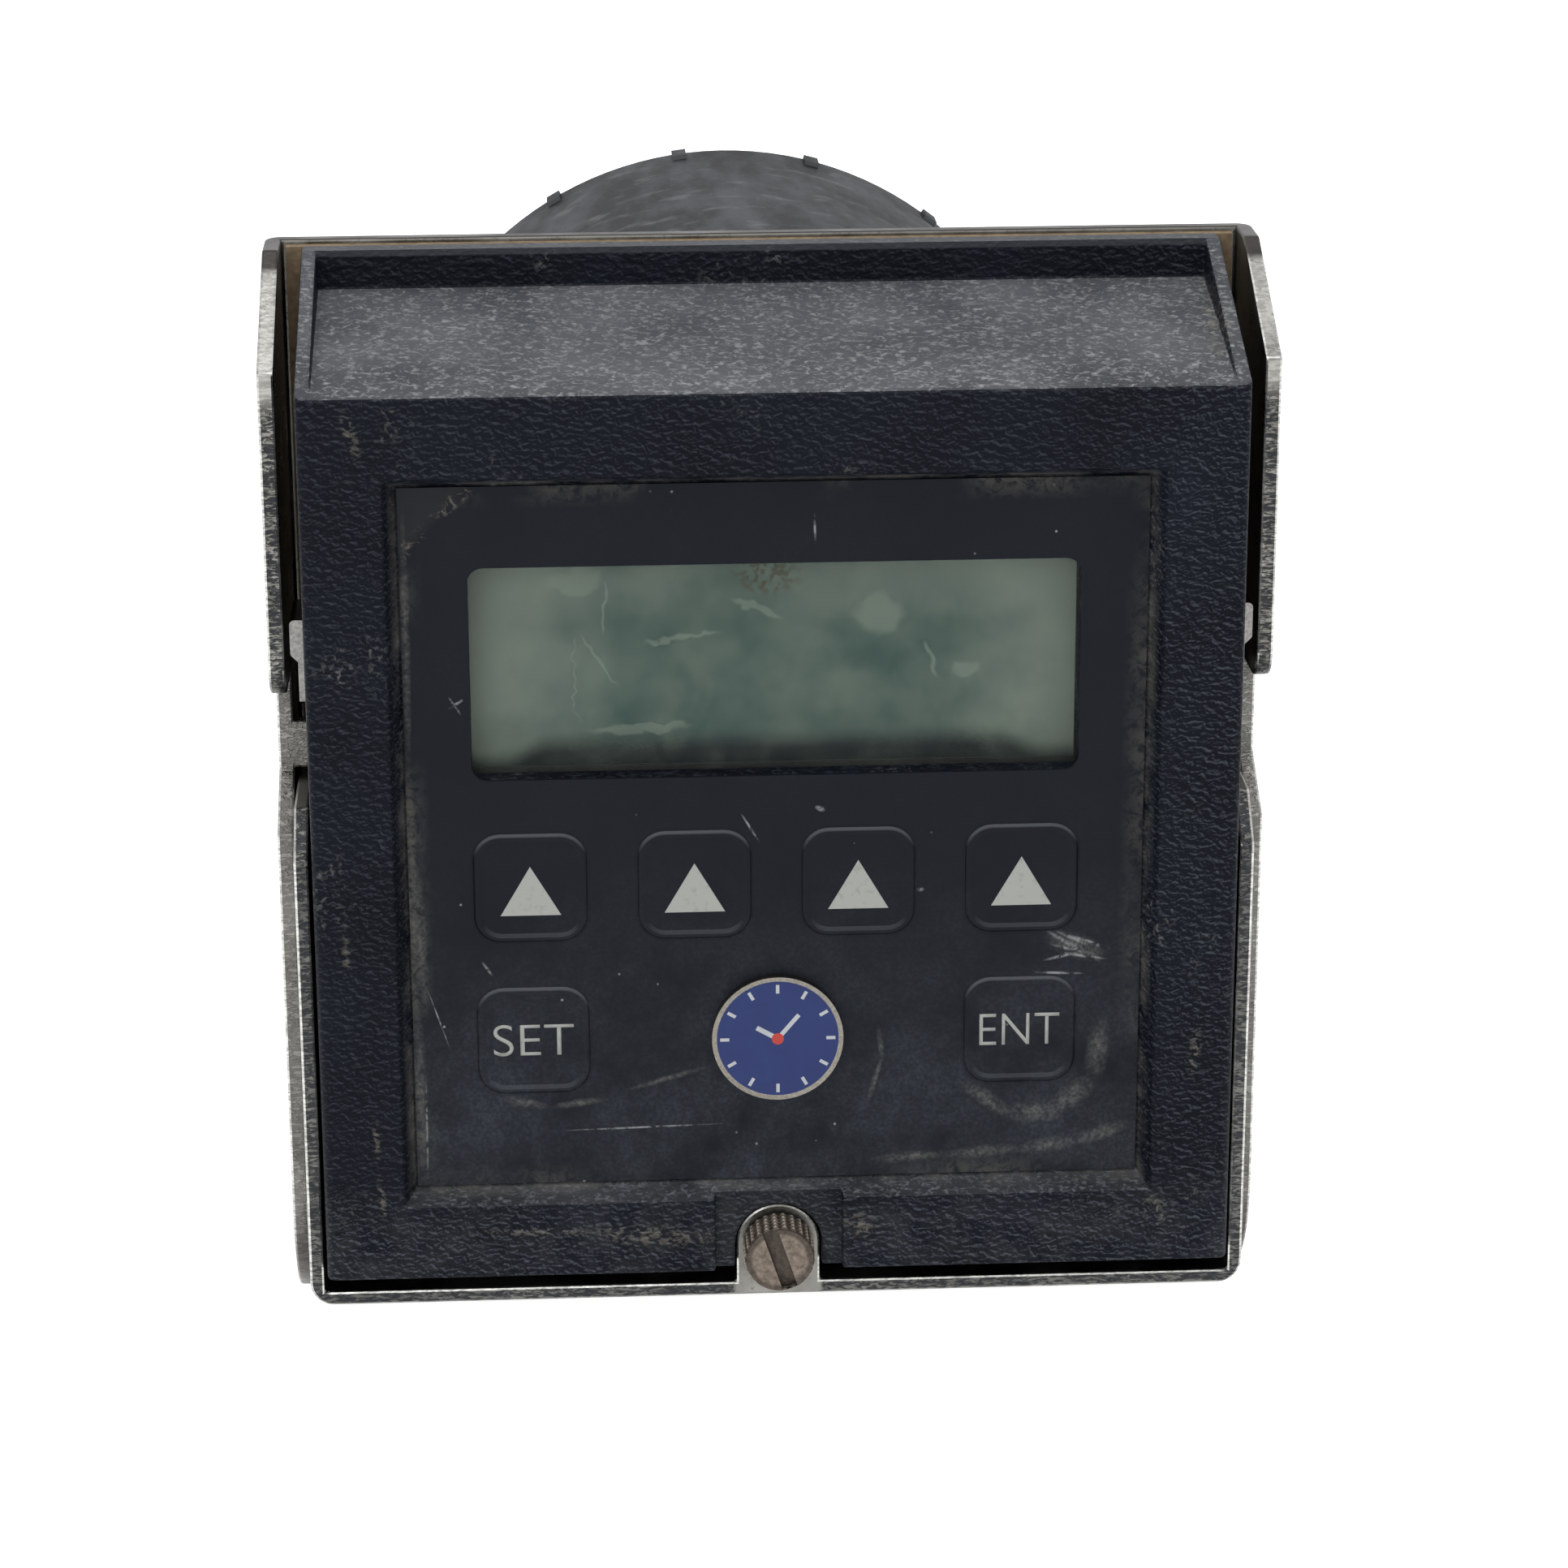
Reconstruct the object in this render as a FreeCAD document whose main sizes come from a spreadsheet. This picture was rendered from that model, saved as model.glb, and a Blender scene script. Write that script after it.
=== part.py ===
# Plug-in panel timer: a moulded front with a display and film keys, in a folded steel mounting frame,
# with a round ribbed housing behind the panel. The front faces -Y, +Z is up, and the origin lies on the
# housing's axis, on the rear face of the frame's plate, which sits on the panel.
import FreeCAD, Part
import os
import re

import Sketcher

Vector = FreeCAD.Vector

# Driving sizes in millimetres and degrees. Heights and drops are counted up and down from the housing's axis.
SIZES = {
    # moulded front
    "bezel_width": 75.0,
    "bezel_top": 41.25,
    "bezel_foot": 41.3,
    "bezel_wall": 2.2,
    "crease_height": 33.7,
    "face_setout": 24.4,
    "rim_setback": 19.7,
    "cheek": 1.2,
    "scoop_depth": 3.25,
    "recess_width": 61.9,
    "recess_top": 27.1,
    "recess_margin": 6.45,
    "recess_depth": 2.3,
    "recess_draft": 23.0,
    "floor_thick": 2.0,
    "edge_round": 0.8,
    "boss_side": 4.4,
    "boss_inset": 1.6,
    "boss_upper": 20.0,
    "boss_lower": 25.0,
    # notch at the foot for the locking tab
    "notch_width": 10.6,
    "notch_height": 7.4,
    "notch_depth": 0.9,
    "tab_slot_depth": 5.4,
    "tab_slot_gap": 0.12,
    "tab_slot_rise": 0.35,
    "channel_gap": 0.3,
    # display
    "window_width": 49.0,
    "window_height": 17.8,
    "window_middle": 10.4,
    "window_round": 1.3,
    "pane_lap": 1.0,
    "pane_thick": 1.2,
    "glass_width": 52.0,
    "glass_height": 25.6,
    "glass_thick": 2.8,
    "glass_gap": 0.3,
    "holder_wall": 1.4,
    "holder_gap": 0.2,
    "strip_width": 2.2,
    "strip_inset": 0.8,
    "board_setback": 12.0,
    "board_thick": 1.6,
    "board_width": 60.0,
    "board_top": 29.0,
    "board_foot": 30.0,
    # film and keys
    "film_thick": 0.3,
    "key_width": 9.2,
    "key_height": 9.3,
    "key_round": 2.2,
    "key_pitch": 13.33,
    "key_drop": 7.7,
    "lower_key_drop": 21.0,
    "key_gap": 0.15,
    "key_hole_gap": 0.3,
    "key_travel": 0.5,
    "switch_side": 6.0,
    "switch_tall": 4.3,
    "plunger_side": 3.4,
    "badge_radius": 5.4,
    "badge_thick": 0.8,
    # folded module frame
    "module_sheet": 1.2,
    "arm_gap": 0.35,
    "arm_setback": 2.0,
    "arm_top": 1.6,
    "arm_chamfer": 3.6,
    "foot_gap": 1.9,
    "web_top": 36.0,
    "web_opening": 50.0,
    "opening_top": 15.5,
    "opening_foot": 14.0,
    "bend_round": 2.0,
    "tab_width": 7.0,
    # side springs, bent from flat strip
    "spring_top": 14.4,
    "spring_length": 6.8,
    "spring_bulge": 1.3,
    "spring_bulge_tall": 2.9,
    "spring_neck": 0.7,
    "spring_round": 0.4,
    "spring_width": 6.0,
    "spring_setback": 5.0,
    # lock screw
    "screw_rise": 1.6,
    "screw_radius": 1.5,
    "screw_head": 2.75,
    "screw_head_tall": 3.4,
    "screw_gap": 0.15,
    "screw_clearance": 0.25,
    "screw_fit": 0.1,
    "screw_short": 0.2,
    "slot_width": 1.3,
    "slot_depth": 1.0,
    "slot_lean": 18.0,
    "ring_radius": 2.7,
    "ring_thick": 0.8,
    # folded mounting frame
    "frame_sheet": 1.35,
    "wing_gap": 0.25,
    "plate_top": 41.5,
    "plate_lap": 8.2,
    "plate_bore": 25.8,
    "wing_setback": 5.5,
    "wing_crease": 34.5,
    "wing_crown_setback": 19.0,
    "wing_toe": 7.5,
    "wing_toe_round": 2.5,
    "neck_setback": 14.0,
    "neck_foot": 1.1,
    "lower_wing_setback": 8.0,
    "lower_wing_top": 4.9,
    "lower_wing_round": 12.0,
    "ear_top": 3.0,
    "ear_height": 4.0,
    "ear_gap": 0.5,
    "bolt_spacing_x": 64.0,
    "bolt_spacing_z": 71.0,
    "bolt_hole": 2.2,
    "bolt_head_room": 8.6,
    # gasket
    "gasket_thick": 1.0,
    "gasket_margin": 0.4,
    "gasket_lap": 0.4,
    "seat_gap": 0.3,
    # shared by holes and cuts
    "hole_gap": 0.2,
    "cut_past": 1.0,
    # round housing
    "barrel_radius": 33.4,
    "barrel_wall": 2.4,
    "barrel_length": 77.1,
    "rib_count": 16,
    "rib_width": 1.4,
    "rib_tall": 0.4,
    "rib_length": 3.0,
    "rib_turn": 7.5,
    "shoulder": 2.5,
    "shoulder_thick": 2.0,
    "terminal_recess": 7.0,
    "lug_side": 5.0,
    "lug_inset": 1.8,
    "lug_length": 12.0,
    "lug_bolt_head": 2.0,
    "lug_bolt_tall": 0.8,
    # fixed rear end
    "base_thick": 8.0,
    "base_gap": 0.2,
    "pole_count": 8,
    "pole_circle": 21.0,
    "barrier_width": 1.2,
    "barrier_tall": 4.0,
    "barrier_inner": 16.5,
    "plate_side": 7.0,
    "plate_thick": 0.8,
    "terminal_head": 2.8,
    "terminal_head_tall": 1.8,
    "terminal_slot": 0.8,
    "terminal_slot_depth": 0.8,
    "receptacle_width": 3.4,
    "receptacle_depth": 4.6,
    "receptacle_length": 8.0,
    # plug-in rear end
    "blade_width": 3.0,
    "blade_thick": 0.8,
    "blade_gap": 0.2,
    "blade_reach": 7.0,
    "plug_radius": 25.0,
    "plug_thick": 6.0,
    "plug_gap": 1.0,
    "post_corner": 2.4,
    "post_x": 12.5,
    "post_z": 18.7,
    "post_bolt_head": 2.4,
    "post_bolt_tall": 1.7,
    # circuit
    "power_width": 44.0,
    "power_drop": 10.0,
    "power_thick": 1.6,
    "card_gap": 0.3,
    "transformer_width": 28.0,
    "transformer_tall": 20.0,
    "transformer_length": 26.0,
    "core_lap": 5.0,
    "relay_width": 11.0,
    "relay_tall": 15.0,
    "relay_length": 27.0,
    "part_gap": 2.0,
    "film_cap_width": 12.0,
    "film_cap_length": 8.0,
    "film_cap_tall": 10.0,
    "chip_length": 20.0,
    "chip_width": 8.0,
    "chip_tall": 3.2,
}

doc = FreeCAD.newDocument("panel_timer")
sheet = doc.addObject("Spreadsheet::Sheet", "Sizes")
for row, (size_name, size_value) in enumerate(SIZES.items(), start=1):
    sheet.set(f"A{row}", size_name)
    sheet.set(f"B{row}", str(size_value))
    sheet.setAlias(f"B{row}", size_name)
doc.recompute()

# Places that several pieces share, as formulas of the driving sizes.
FORMULAS = {
    "half": "(bezel_width / 2)",
    "face": "(-face_setout)",
    "film_front": "(-face_setout + recess_depth - film_thick)",
    "floor_front": "(-face_setout + recess_depth)",
    "floor_back": "(-face_setout + recess_depth + floor_thick)",
    "plate_front": "(-frame_sheet)",
    "gasket_front": "(-frame_sheet - gasket_thick)",
    "web_back": "(-frame_sheet - gasket_thick - seat_gap)",
    "web_front": "(-frame_sheet - gasket_thick - seat_gap - module_sheet)",
    "board_front": "(-face_setout + board_setback)",
    "board_back": "(-face_setout + board_setback + board_thick)",
    "arm_in": "(bezel_width / 2 + arm_gap)",
    "arm_out": "(bezel_width / 2 + arm_gap + module_sheet)",
    "wing_in": "(bezel_width / 2 + arm_gap + module_sheet + wing_gap)",
    "wing_out": "(bezel_width / 2 + arm_gap + module_sheet + wing_gap + frame_sheet)",
    "flange_top": "(-bezel_foot - foot_gap)",
    "flange_foot": "(-bezel_foot - foot_gap - module_sheet)",
    "arm_front": "(-face_setout + arm_setback)",
    "tab_back": "(-face_setout + arm_setback + module_sheet)",
    "gasket_bore": "(barrel_radius - gasket_lap)",
    "barrel_bore": "(barrel_radius - barrel_wall)",
    "base_back": "(barrel_length - terminal_recess)",
    "base_front": "(base_back - base_thick)",
    "receptacle_front": "(base_front - receptacle_length)",
    "plug_back": "(receptacle_front - plug_gap)",
    "plug_front": "(plug_back - plug_thick)",
    "lug_place": "((barrel_radius - barrel_wall - lug_inset) * sqrt(0.5))",
    "power_top": "(-power_drop + power_thick)",
    "screw_drop": "(bezel_foot - screw_rise)",
    "notch_top": "(bezel_foot - notch_height)",
    "recess_foot": "(bezel_foot - recess_margin)",
    "plate_foot": "(bezel_foot + plate_lap)",
}
WORD = re.compile(r"[A-Za-z_]\w*")


def formula(text):
    """A sheet expression for a formula that uses size names and shared places."""
    while any(word in FORMULAS for word in WORD.findall(text)):
        text = WORD.sub(lambda found: FORMULAS.get(found.group(), found.group()), text)
    return WORD.sub(lambda found: "Sizes." + found.group() if found.group() in SIZES else found.group(), text)


def number(text):
    """The value of such a formula, read from the sheet."""
    return float(sheet.evalExpression(formula(text).replace("Sizes.", "")))


nodes = {}
SAME = 1e-4


def keep(item, node):
    """Name a finished sub-part."""
    item.Label = node
    nodes[node] = item
    return item


def new_body(node):
    return keep(doc.addObject("PartDesign::Body", node + "_body"), node)


def origin_plane(body, role):
    return next(item for item in body.Origin.OriginFeatures if item.Role == role)


def new_sketch(body, name, role, level):
    """A sketch on an origin plane, moved to a level along the world axis that the plane faces."""
    sketch = body.newObject("Sketcher::SketchObject", name)
    sketch.AttachmentSupport = (origin_plane(body, role), [""])
    sketch.MapMode = "FlatFace"
    facing = "-1 * " if role == "XZ_Plane" else ""
    sketch.setExpression("AttachmentOffset.Base.z", formula(f"{facing}({level})"))
    return sketch


def pin_point(sketch, index, end, across, up):
    """Hold one end of a line at two formulas from the sketch's origin."""
    for kind, text in (("DistanceX", across), ("DistanceY", up)):
        place = sketch.addConstraint(Sketcher.Constraint(kind, -1, 1, index, end, number(text)))
        sketch.setExpression(f"Constraints[{place}]", formula(text))


def draw_outline(sketch, corners):
    """A closed outline of straight lines through corners given as pairs of formulas."""
    places = [Vector(number(across), number(up), 0) for across, up in corners]
    first = sketch.GeometryCount
    count = len(corners)
    for step in range(count):
        sketch.addGeometry(Part.LineSegment(places[step], places[(step + 1) % count]), False)
    for step in range(count):
        after = first + (step + 1) % count
        sketch.addConstraint(Sketcher.Constraint("Coincident", first + step, 2, after, 1))
    for step, (across, up) in enumerate(corners):
        pin_point(sketch, first + step, 1, across, up)


def draw_circle(sketch, across, up, radius):
    middle = Vector(number(across), number(up), 0)
    index = sketch.addGeometry(Part.Circle(middle, Vector(0, 0, 1), number(radius)), False)
    pin_point(sketch, index, 3, across, up)
    place = sketch.addConstraint(Sketcher.Constraint("Radius", index, number(radius)))
    sketch.setExpression(f"Constraints[{place}]", formula(radius))


def rectangle(left, right, foot, top):
    return [(left, foot), (right, foot), (right, top), (left, top)]


def turned(corners, angle):
    """Corners of an outline, turned about the housing's axis, from +Z towards -X."""
    return [
        (f"({x}) * cos({angle}) - ({z}) * sin({angle})", f"({x}) * sin({angle}) + ({z}) * cos({angle})")
        for x, z in corners
    ]


def extrude(body, name, role, level, reach, outlines=(), circles=(), cut=False, draft=None):
    """Pad or pocket outlines and circles from a level to a reach, both along the plane's world axis."""
    sketch = new_sketch(body, name + "_sketch", role, level)
    for corners in outlines:
        draw_outline(sketch, corners)
    for circle in circles:
        draw_circle(sketch, *circle)
    doc.recompute()
    before = body.Shape.Volume if body.Shape and body.Shape.Solids else 0.0
    feature = body.newObject("PartDesign::Pocket" if cut else "PartDesign::Pad", name)
    feature.Profile = sketch
    feature.setExpression("Length", formula(f"abs(({reach}) - ({level}))"))
    along = number(f"({reach}) - ({level})") * (-1 if role == "XZ_Plane" else 1)
    feature.Reversed = (along > 0) if cut else (along < 0)
    if draft:
        feature.setExpression("TaperAngle", formula(draft))
    doc.recompute()
    if cut and body.Shape.Volume > before - SAME:
        raise RuntimeError(f"{body.Label}: {name} cuts nothing")
    return feature


def round_edges(body, name, radius, chosen):
    """Round the edges of the body so far that a test on their two ends picks."""
    base = body.Tip
    picked = []
    for index, edge in enumerate(base.Shape.Edges, start=1):
        if len(edge.Vertexes) == 2 and chosen(edge.Vertexes[0].Point, edge.Vertexes[1].Point):
            picked.append(f"Edge{index}")
    if not picked:
        raise RuntimeError(f"{body.Label}: {name} finds no edge")
    fillet = body.newObject("PartDesign::Fillet", name)
    fillet.Base = (base, picked)
    fillet.setExpression("Radius", formula(radius))
    doc.recompute()
    return fillet


def near(value, text):
    return abs(value - number(text)) < SAME


def along_y(one, two):
    return abs(one.x - two.x) < SAME and abs(one.z - two.z) < SAME


def turn_copies(body, name, features, count):
    """Repeat features round the housing's axis."""
    pattern = body.newObject("PartDesign::PolarPattern", name)
    pattern.Originals = features
    pattern.Axis = (next(item for item in body.Origin.OriginFeatures if item.Role == "Y_Axis"), [""])
    pattern.Angle = 360
    pattern.setExpression("Occurrences", formula(count))
    body.Tip = pattern
    doc.recompute()
    return pattern


def set_place(item, x, y, z):
    for letter, text in (("x", x), ("y", y), ("z", z)):
        item.setExpression(f"Placement.Base.{letter}", formula(text))


def block(name, left, right, front, back, foot, top):
    """A box between formulas on the three world axes."""
    item = doc.addObject("Part::Box", name)
    item.setExpression("Length", formula(f"({right}) - ({left})"))
    item.setExpression("Width", formula(f"({back}) - ({front})"))
    item.setExpression("Height", formula(f"({top}) - ({foot})"))
    set_place(item, left, front, foot)
    return item


def rod(name, radius, x, z, front, back):
    """A cylinder along Y."""
    item = doc.addObject("Part::Cylinder", name)
    item.setExpression("Radius", formula(radius))
    item.setExpression("Height", formula(f"({back}) - ({front})"))
    item.Placement.Rotation = FreeCAD.Rotation(Vector(1, 0, 0), -90)
    set_place(item, x, front, z)
    return item


def cut_from(name, base, *tools):
    for step, tool in enumerate(tools):
        piece = doc.addObject("Part::Cut", f"{name}_cut{step}")
        piece.Base = base
        piece.Tool = tool
        base = piece
    return base


def joined(name, *items):
    piece = doc.addObject("Part::MultiFuse", name + "_joined")
    piece.Shapes = list(items)
    return piece


def group(name, items):
    """Separate solids that share one node."""
    piece = doc.addObject("Part::Compound", name + "_group")
    piece.Links = list(items)
    return piece


SIDES = (("left", "-1"), ("right", "1"))
KEYS = {
    "key_1": ("-1.5 * key_pitch", "-key_drop"),
    "key_2": ("-0.5 * key_pitch", "-key_drop"),
    "key_3": ("0.5 * key_pitch", "-key_drop"),
    "key_4": ("1.5 * key_pitch", "-key_drop"),
    "key_set": ("-1.5 * key_pitch", "-lower_key_drop"),
    "key_enter": ("1.5 * key_pitch", "-lower_key_drop"),
}
BOLTS = [(f"{x} * bolt_spacing_x / 2", f"{z} * bolt_spacing_z / 2") for x in (-1, 1) for z in (-1, 1)]
POSTS = [(f"{x} * post_x", z) for x in (-1, 1) for z in ("post_z", "-post_z")]
LUGS = [(f"{x} * lug_place", f"{z} * lug_place") for x in (-1, 1) for z in (-1, 1)]
HALF_POLE = "180 / pole_count"
BOSSES = [
    (f"{x} * (half - bezel_wall - boss_inset)", z) for x in (-1, 1) for z in ("boss_upper", "-boss_lower")
]


def squares(places, side):
    """Square outlines of one side about several places."""
    return [rectangle(f"{x} - {side} / 2", f"{x} + {side} / 2", f"{z} - {side} / 2", f"{z} + {side} / 2")
            for x, z in places]


def hexagons(name, corner, places, front, back):
    """Six-sided bars along Y about several places."""
    bars = []
    for index, (x, z) in enumerate(places):
        bar = doc.addObject("Part::Prism", f"{name}_{index}")
        bar.Polygon = 6
        bar.setExpression("Circumradius", formula(corner))
        bar.setExpression("Height", formula(f"({back}) - ({front})"))
        bar.Placement.Rotation = FreeCAD.Rotation(Vector(1, 0, 0), -90)
        set_place(bar, x, front, z)
        bars.append(bar)
    return group(name, bars)


def key_outline(place, margin):
    x, z = place
    return rectangle(
        f"{x} - key_width / 2 - ({margin})",
        f"{x} + key_width / 2 + ({margin})",
        f"{z} - key_height / 2 - ({margin})",
        f"{z} + key_height / 2 + ({margin})",
    )


# Mounting frame: one folded sheet, a plate with a round opening and two profiled side wings.
def make_mounting_frame():
    body = new_body("mounting_frame")
    plate = rectangle("-wing_out", "wing_out", "-plate_foot", "plate_top")
    openings = [("0", "0", "plate_bore"), ("0", "-screw_drop", "screw_radius + screw_fit")]
    openings += [(x, z, "bolt_hole") for x, z in BOLTS]
    extrude(body, "plate", "XZ_Plane", "0", "plate_front", [plate], openings)
    wing = [
        ("0", "plate_top"),
        ("face + wing_crown_setback", "plate_top"),
        ("face + wing_setback", "wing_crease"),
        ("face + wing_setback", "wing_toe"),
        ("face + neck_setback", "wing_toe"),
        ("face + neck_setback", "-neck_foot"),
        ("face + lower_wing_setback", "-lower_wing_top"),
        ("face + lower_wing_setback", "-plate_foot"),
        ("0", "-plate_foot"),
    ]
    for side, sign in SIDES:
        extrude(body, f"wing_{side}", "YZ_Plane", f"{sign} * wing_in", f"{sign} * wing_out", [wing])
        inner, outer = f"{sign} * (half + ear_gap)", f"{sign} * wing_out"
        ear = rectangle(inner, outer, "ear_top - ear_height", "ear_top")
        extrude(body, f"ear_{side}", "XZ_Plane", "face + neck_setback + frame_sheet", "face + neck_setback",
                [ear])
    round_edges(body, "folds", "frame_sheet", lambda one, two: (
        abs(one.z - two.z) > SAME and near(abs(one.x), "wing_out") and near(abs(two.x), "wing_out")
        and abs(one.y) < SAME and abs(two.y) < SAME))
    round_edges(body, "wing_feet", "lower_wing_round", lambda one, two: (
        near(one.y, "face + lower_wing_setback") and near(two.y, "face + lower_wing_setback")
        and near(one.z, "-plate_foot") and near(two.z, "-plate_foot") and abs(one.x - two.x) > SAME))
    round_edges(body, "wing_toes", "wing_toe_round", lambda one, two: (
        near(one.y, "face + wing_setback") and near(two.y, "face + wing_setback")
        and near(one.z, "wing_toe") and near(two.z, "wing_toe") and abs(one.x - two.x) > SAME))
    return body


# Gasket: a fibre sheet on the plate, clear of the screws' heads and the housing's mouth.
def make_gasket():
    body = new_body("frame_gasket")
    edge = "wing_in - gasket_margin"
    sheet_outline = rectangle(f"-({edge})", edge, "-plate_foot + gasket_margin", "plate_top - gasket_margin")
    holes = [("0", "0", "gasket_bore"), ("0", "-screw_drop", "screw_radius + screw_clearance + hole_gap")]
    outlines = [sheet_outline] + squares(BOLTS, "bolt_head_room")
    extrude(body, "sheet", "XZ_Plane", "plate_front", "gasket_front", outlines, holes)
    return body


# Housing: a round moulded barrel with short ribs round its rear rim, screw lugs at its mouth and a shoulder
# for the terminal base.
def make_housing():
    body = new_body("housing_cup")
    extrude(body, "barrel", "XZ_Plane", "0", "barrel_length", [],
            [("0", "0", "barrel_radius"), ("0", "0", "barrel_bore")])
    extrude(body, "shoulder_ring", "XZ_Plane", "base_back", "base_back + shoulder_thick", [],
            [("0", "0", "barrel_radius - barrel_wall / 2"), ("0", "0", "barrel_bore - shoulder")])
    extrude(body, "lugs", "XZ_Plane", "0", "lug_length", squares(LUGS, "lug_side"))
    rib = rectangle("-rib_width / 2", "rib_width / 2", "barrel_radius - barrel_wall / 2",
                    "barrel_radius + rib_tall")
    rib_pad = extrude(body, "rib", "XZ_Plane", "barrel_length - rib_length", "barrel_length",
                      [turned(rib, "rib_turn")])
    turn_copies(body, "ribs", [rib_pad], "rib_count")
    return body


# Housing bolts: low hexagon heads on the plate inside the gasket, over the housing's lugs.
def make_housing_bolts():
    keep(hexagons("housing_bolts", "lug_bolt_head", LUGS, "plate_front - lug_bolt_tall", "plate_front"),
         "housing_screws")


# Terminal base: a moulded disc on the housing's shoulder, with a barrier between each pair of poles.
def make_terminal_base():
    body = new_body("terminal_base")
    disc = extrude(body, "disc", "XZ_Plane", "base_front", "base_back", [],
                   [("0", "0", "barrel_bore - base_gap")])
    barrier = rectangle("-barrier_width / 2", "barrier_width / 2", "barrier_inner",
                        "barrel_bore - shoulder - base_gap")
    wall = extrude(body, "barrier", "XZ_Plane", "base_back", "base_back + barrier_tall", [barrier])
    turn_copies(body, "barriers", [wall], "pole_count")
    return body


# Terminals: flat plates with a screw each, between the barriers.
def make_terminals():
    plates = new_body("terminal_plates")
    side = "plate_side / 2"
    square = rectangle(f"-{side}", side, f"pole_circle - {side}", f"pole_circle + {side}")
    pad = extrude(plates, "plate_pad", "XZ_Plane", "base_back", "base_back + plate_thick",
                  [turned(square, HALF_POLE)])
    turn_copies(plates, "plate_ring", [pad], "pole_count")
    screws = new_body("terminal_screws")
    middle = turned([("0", "pole_circle")], HALF_POLE)[0]
    head_back = "base_back + plate_thick + terminal_head_tall"
    head = extrude(screws, "head", "XZ_Plane", "base_back + plate_thick", head_back,
                   circles=[(*middle, "terminal_head")])
    across = rectangle("-terminal_slot / 2", "terminal_slot / 2", "pole_circle - terminal_head - cut_past",
                       "pole_circle + terminal_head + cut_past")
    slot = extrude(screws, "slot", "XZ_Plane", head_back, f"{head_back} - terminal_slot_depth",
                   [turned(across, HALF_POLE)], cut=True)
    turn_copies(screws, "screw_ring", [head, slot], "pole_count")


# Receptacles: slotted spring sockets on the base's inner face, one for each blade of the plug.
def make_receptacles():
    body = new_body("receptacles")
    across, deep = "receptacle_width / 2", "receptacle_depth / 2"
    outside = rectangle(f"-{across}", across, f"pole_circle - {deep}", f"pole_circle + {deep}")
    wide, thick = "blade_width / 2 + blade_gap", "blade_thick / 2 + blade_gap"
    inside = rectangle(f"-({thick})", thick, f"pole_circle - ({wide})", f"pole_circle + {wide}")
    pad = extrude(body, "socket", "XZ_Plane", "base_front", "receptacle_front", [outside, inside])
    turn_copies(body, "socket_ring", [pad], "pole_count")
    return body


# Bezel: one black moulding with a sloped top, a finger scoop, a sunk face and, at its foot, a shallow notch
# with a slot for the locking tab and a channel for its screw.
def make_bezel():
    body = new_body("bezel")
    side_view = [
        ("face", "-bezel_foot"),
        ("face", "crease_height"),
        ("face + rim_setback", "bezel_top"),
        ("web_back", "bezel_top"),
        ("web_back", "web_top + arm_gap"),
        ("web_front", "web_top + arm_gap"),
        ("web_front", "-bezel_foot"),
    ]
    extrude(body, "block", "YZ_Plane", "-half", "half", [side_view])
    round_edges(body, "corner_rounds", "edge_round", lambda one, two: (
        abs(one.x - two.x) < SAME and near(abs(one.x), "half")
        and near(one.y, "face") and near(two.y, "face")))
    scoop = [
        ("face", "crease_height"),
        ("face + rim_setback", "bezel_top - scoop_depth"),
        ("face + rim_setback", "bezel_top + cut_past"),
        ("face", "bezel_top + cut_past"),
    ]
    extrude(body, "scoop", "YZ_Plane", "-(half - cheek)", "half - cheek", [scoop], cut=True)
    inner = "half - bezel_wall"
    island = "notch_width / 2 + bezel_wall"
    hollow = [
        (f"-({inner})", "-bezel_foot + bezel_wall"),
        (f"-({island})", "-bezel_foot + bezel_wall"),
        (f"-({island})", "-notch_top + bezel_wall"),
        (island, "-notch_top + bezel_wall"),
        (island, "-bezel_foot + bezel_wall"),
        (inner, "-bezel_foot + bezel_wall"),
        (inner, "crease_height - bezel_wall"),
        (f"-({inner})", "crease_height - bezel_wall"),
    ]
    extrude(body, "hollow", "XZ_Plane", "web_front", "floor_back", [hollow], cut=True)
    outline = rectangle("-recess_width / 2", "recess_width / 2", "-recess_foot", "recess_top")
    extrude(body, "face_recess", "XZ_Plane", "face", "floor_front", [outline], cut=True,
            draft="-recess_draft")
    window = rectangle("-window_width / 2", "window_width / 2", "window_middle - window_height / 2",
                       "window_middle + window_height / 2")
    openings = [window] + [key_outline(place, "key_hole_gap") for place in KEYS.values()]
    extrude(body, "openings", "XZ_Plane", "floor_front", "floor_back", openings, cut=True)
    bosses = squares(BOSSES, "boss_side")
    extrude(body, "bosses", "XZ_Plane", "web_front", "floor_back - floor_thick / 2", bosses)
    notch = rectangle("-notch_width / 2", "notch_width / 2", "-bezel_foot - cut_past", "-notch_top")
    extrude(body, "notch", "XZ_Plane", "face", "face + notch_depth", [notch], cut=True)
    side, crown = "tab_width / 2 + tab_slot_gap", "-screw_drop + tab_slot_rise"
    tab_slot = rectangle(f"-({side})", side, "-bezel_foot - cut_past", crown)
    extrude(body, "tab_slot", "XZ_Plane", "face + notch_depth", "face + tab_slot_depth", [tab_slot], cut=True)
    extrude(body, "tab_slot_crown", "XZ_Plane", "face + notch_depth", "face + tab_slot_depth",
            circles=[("0", crown, side)], cut=True)
    side = "screw_radius + channel_gap"
    channel = rectangle(f"-({side})", side, "-bezel_foot - cut_past", f"-screw_drop + {side}")
    extrude(body, "channel", "XZ_Plane", "face + tab_slot_depth", "web_front", [channel], cut=True)
    return body


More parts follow.
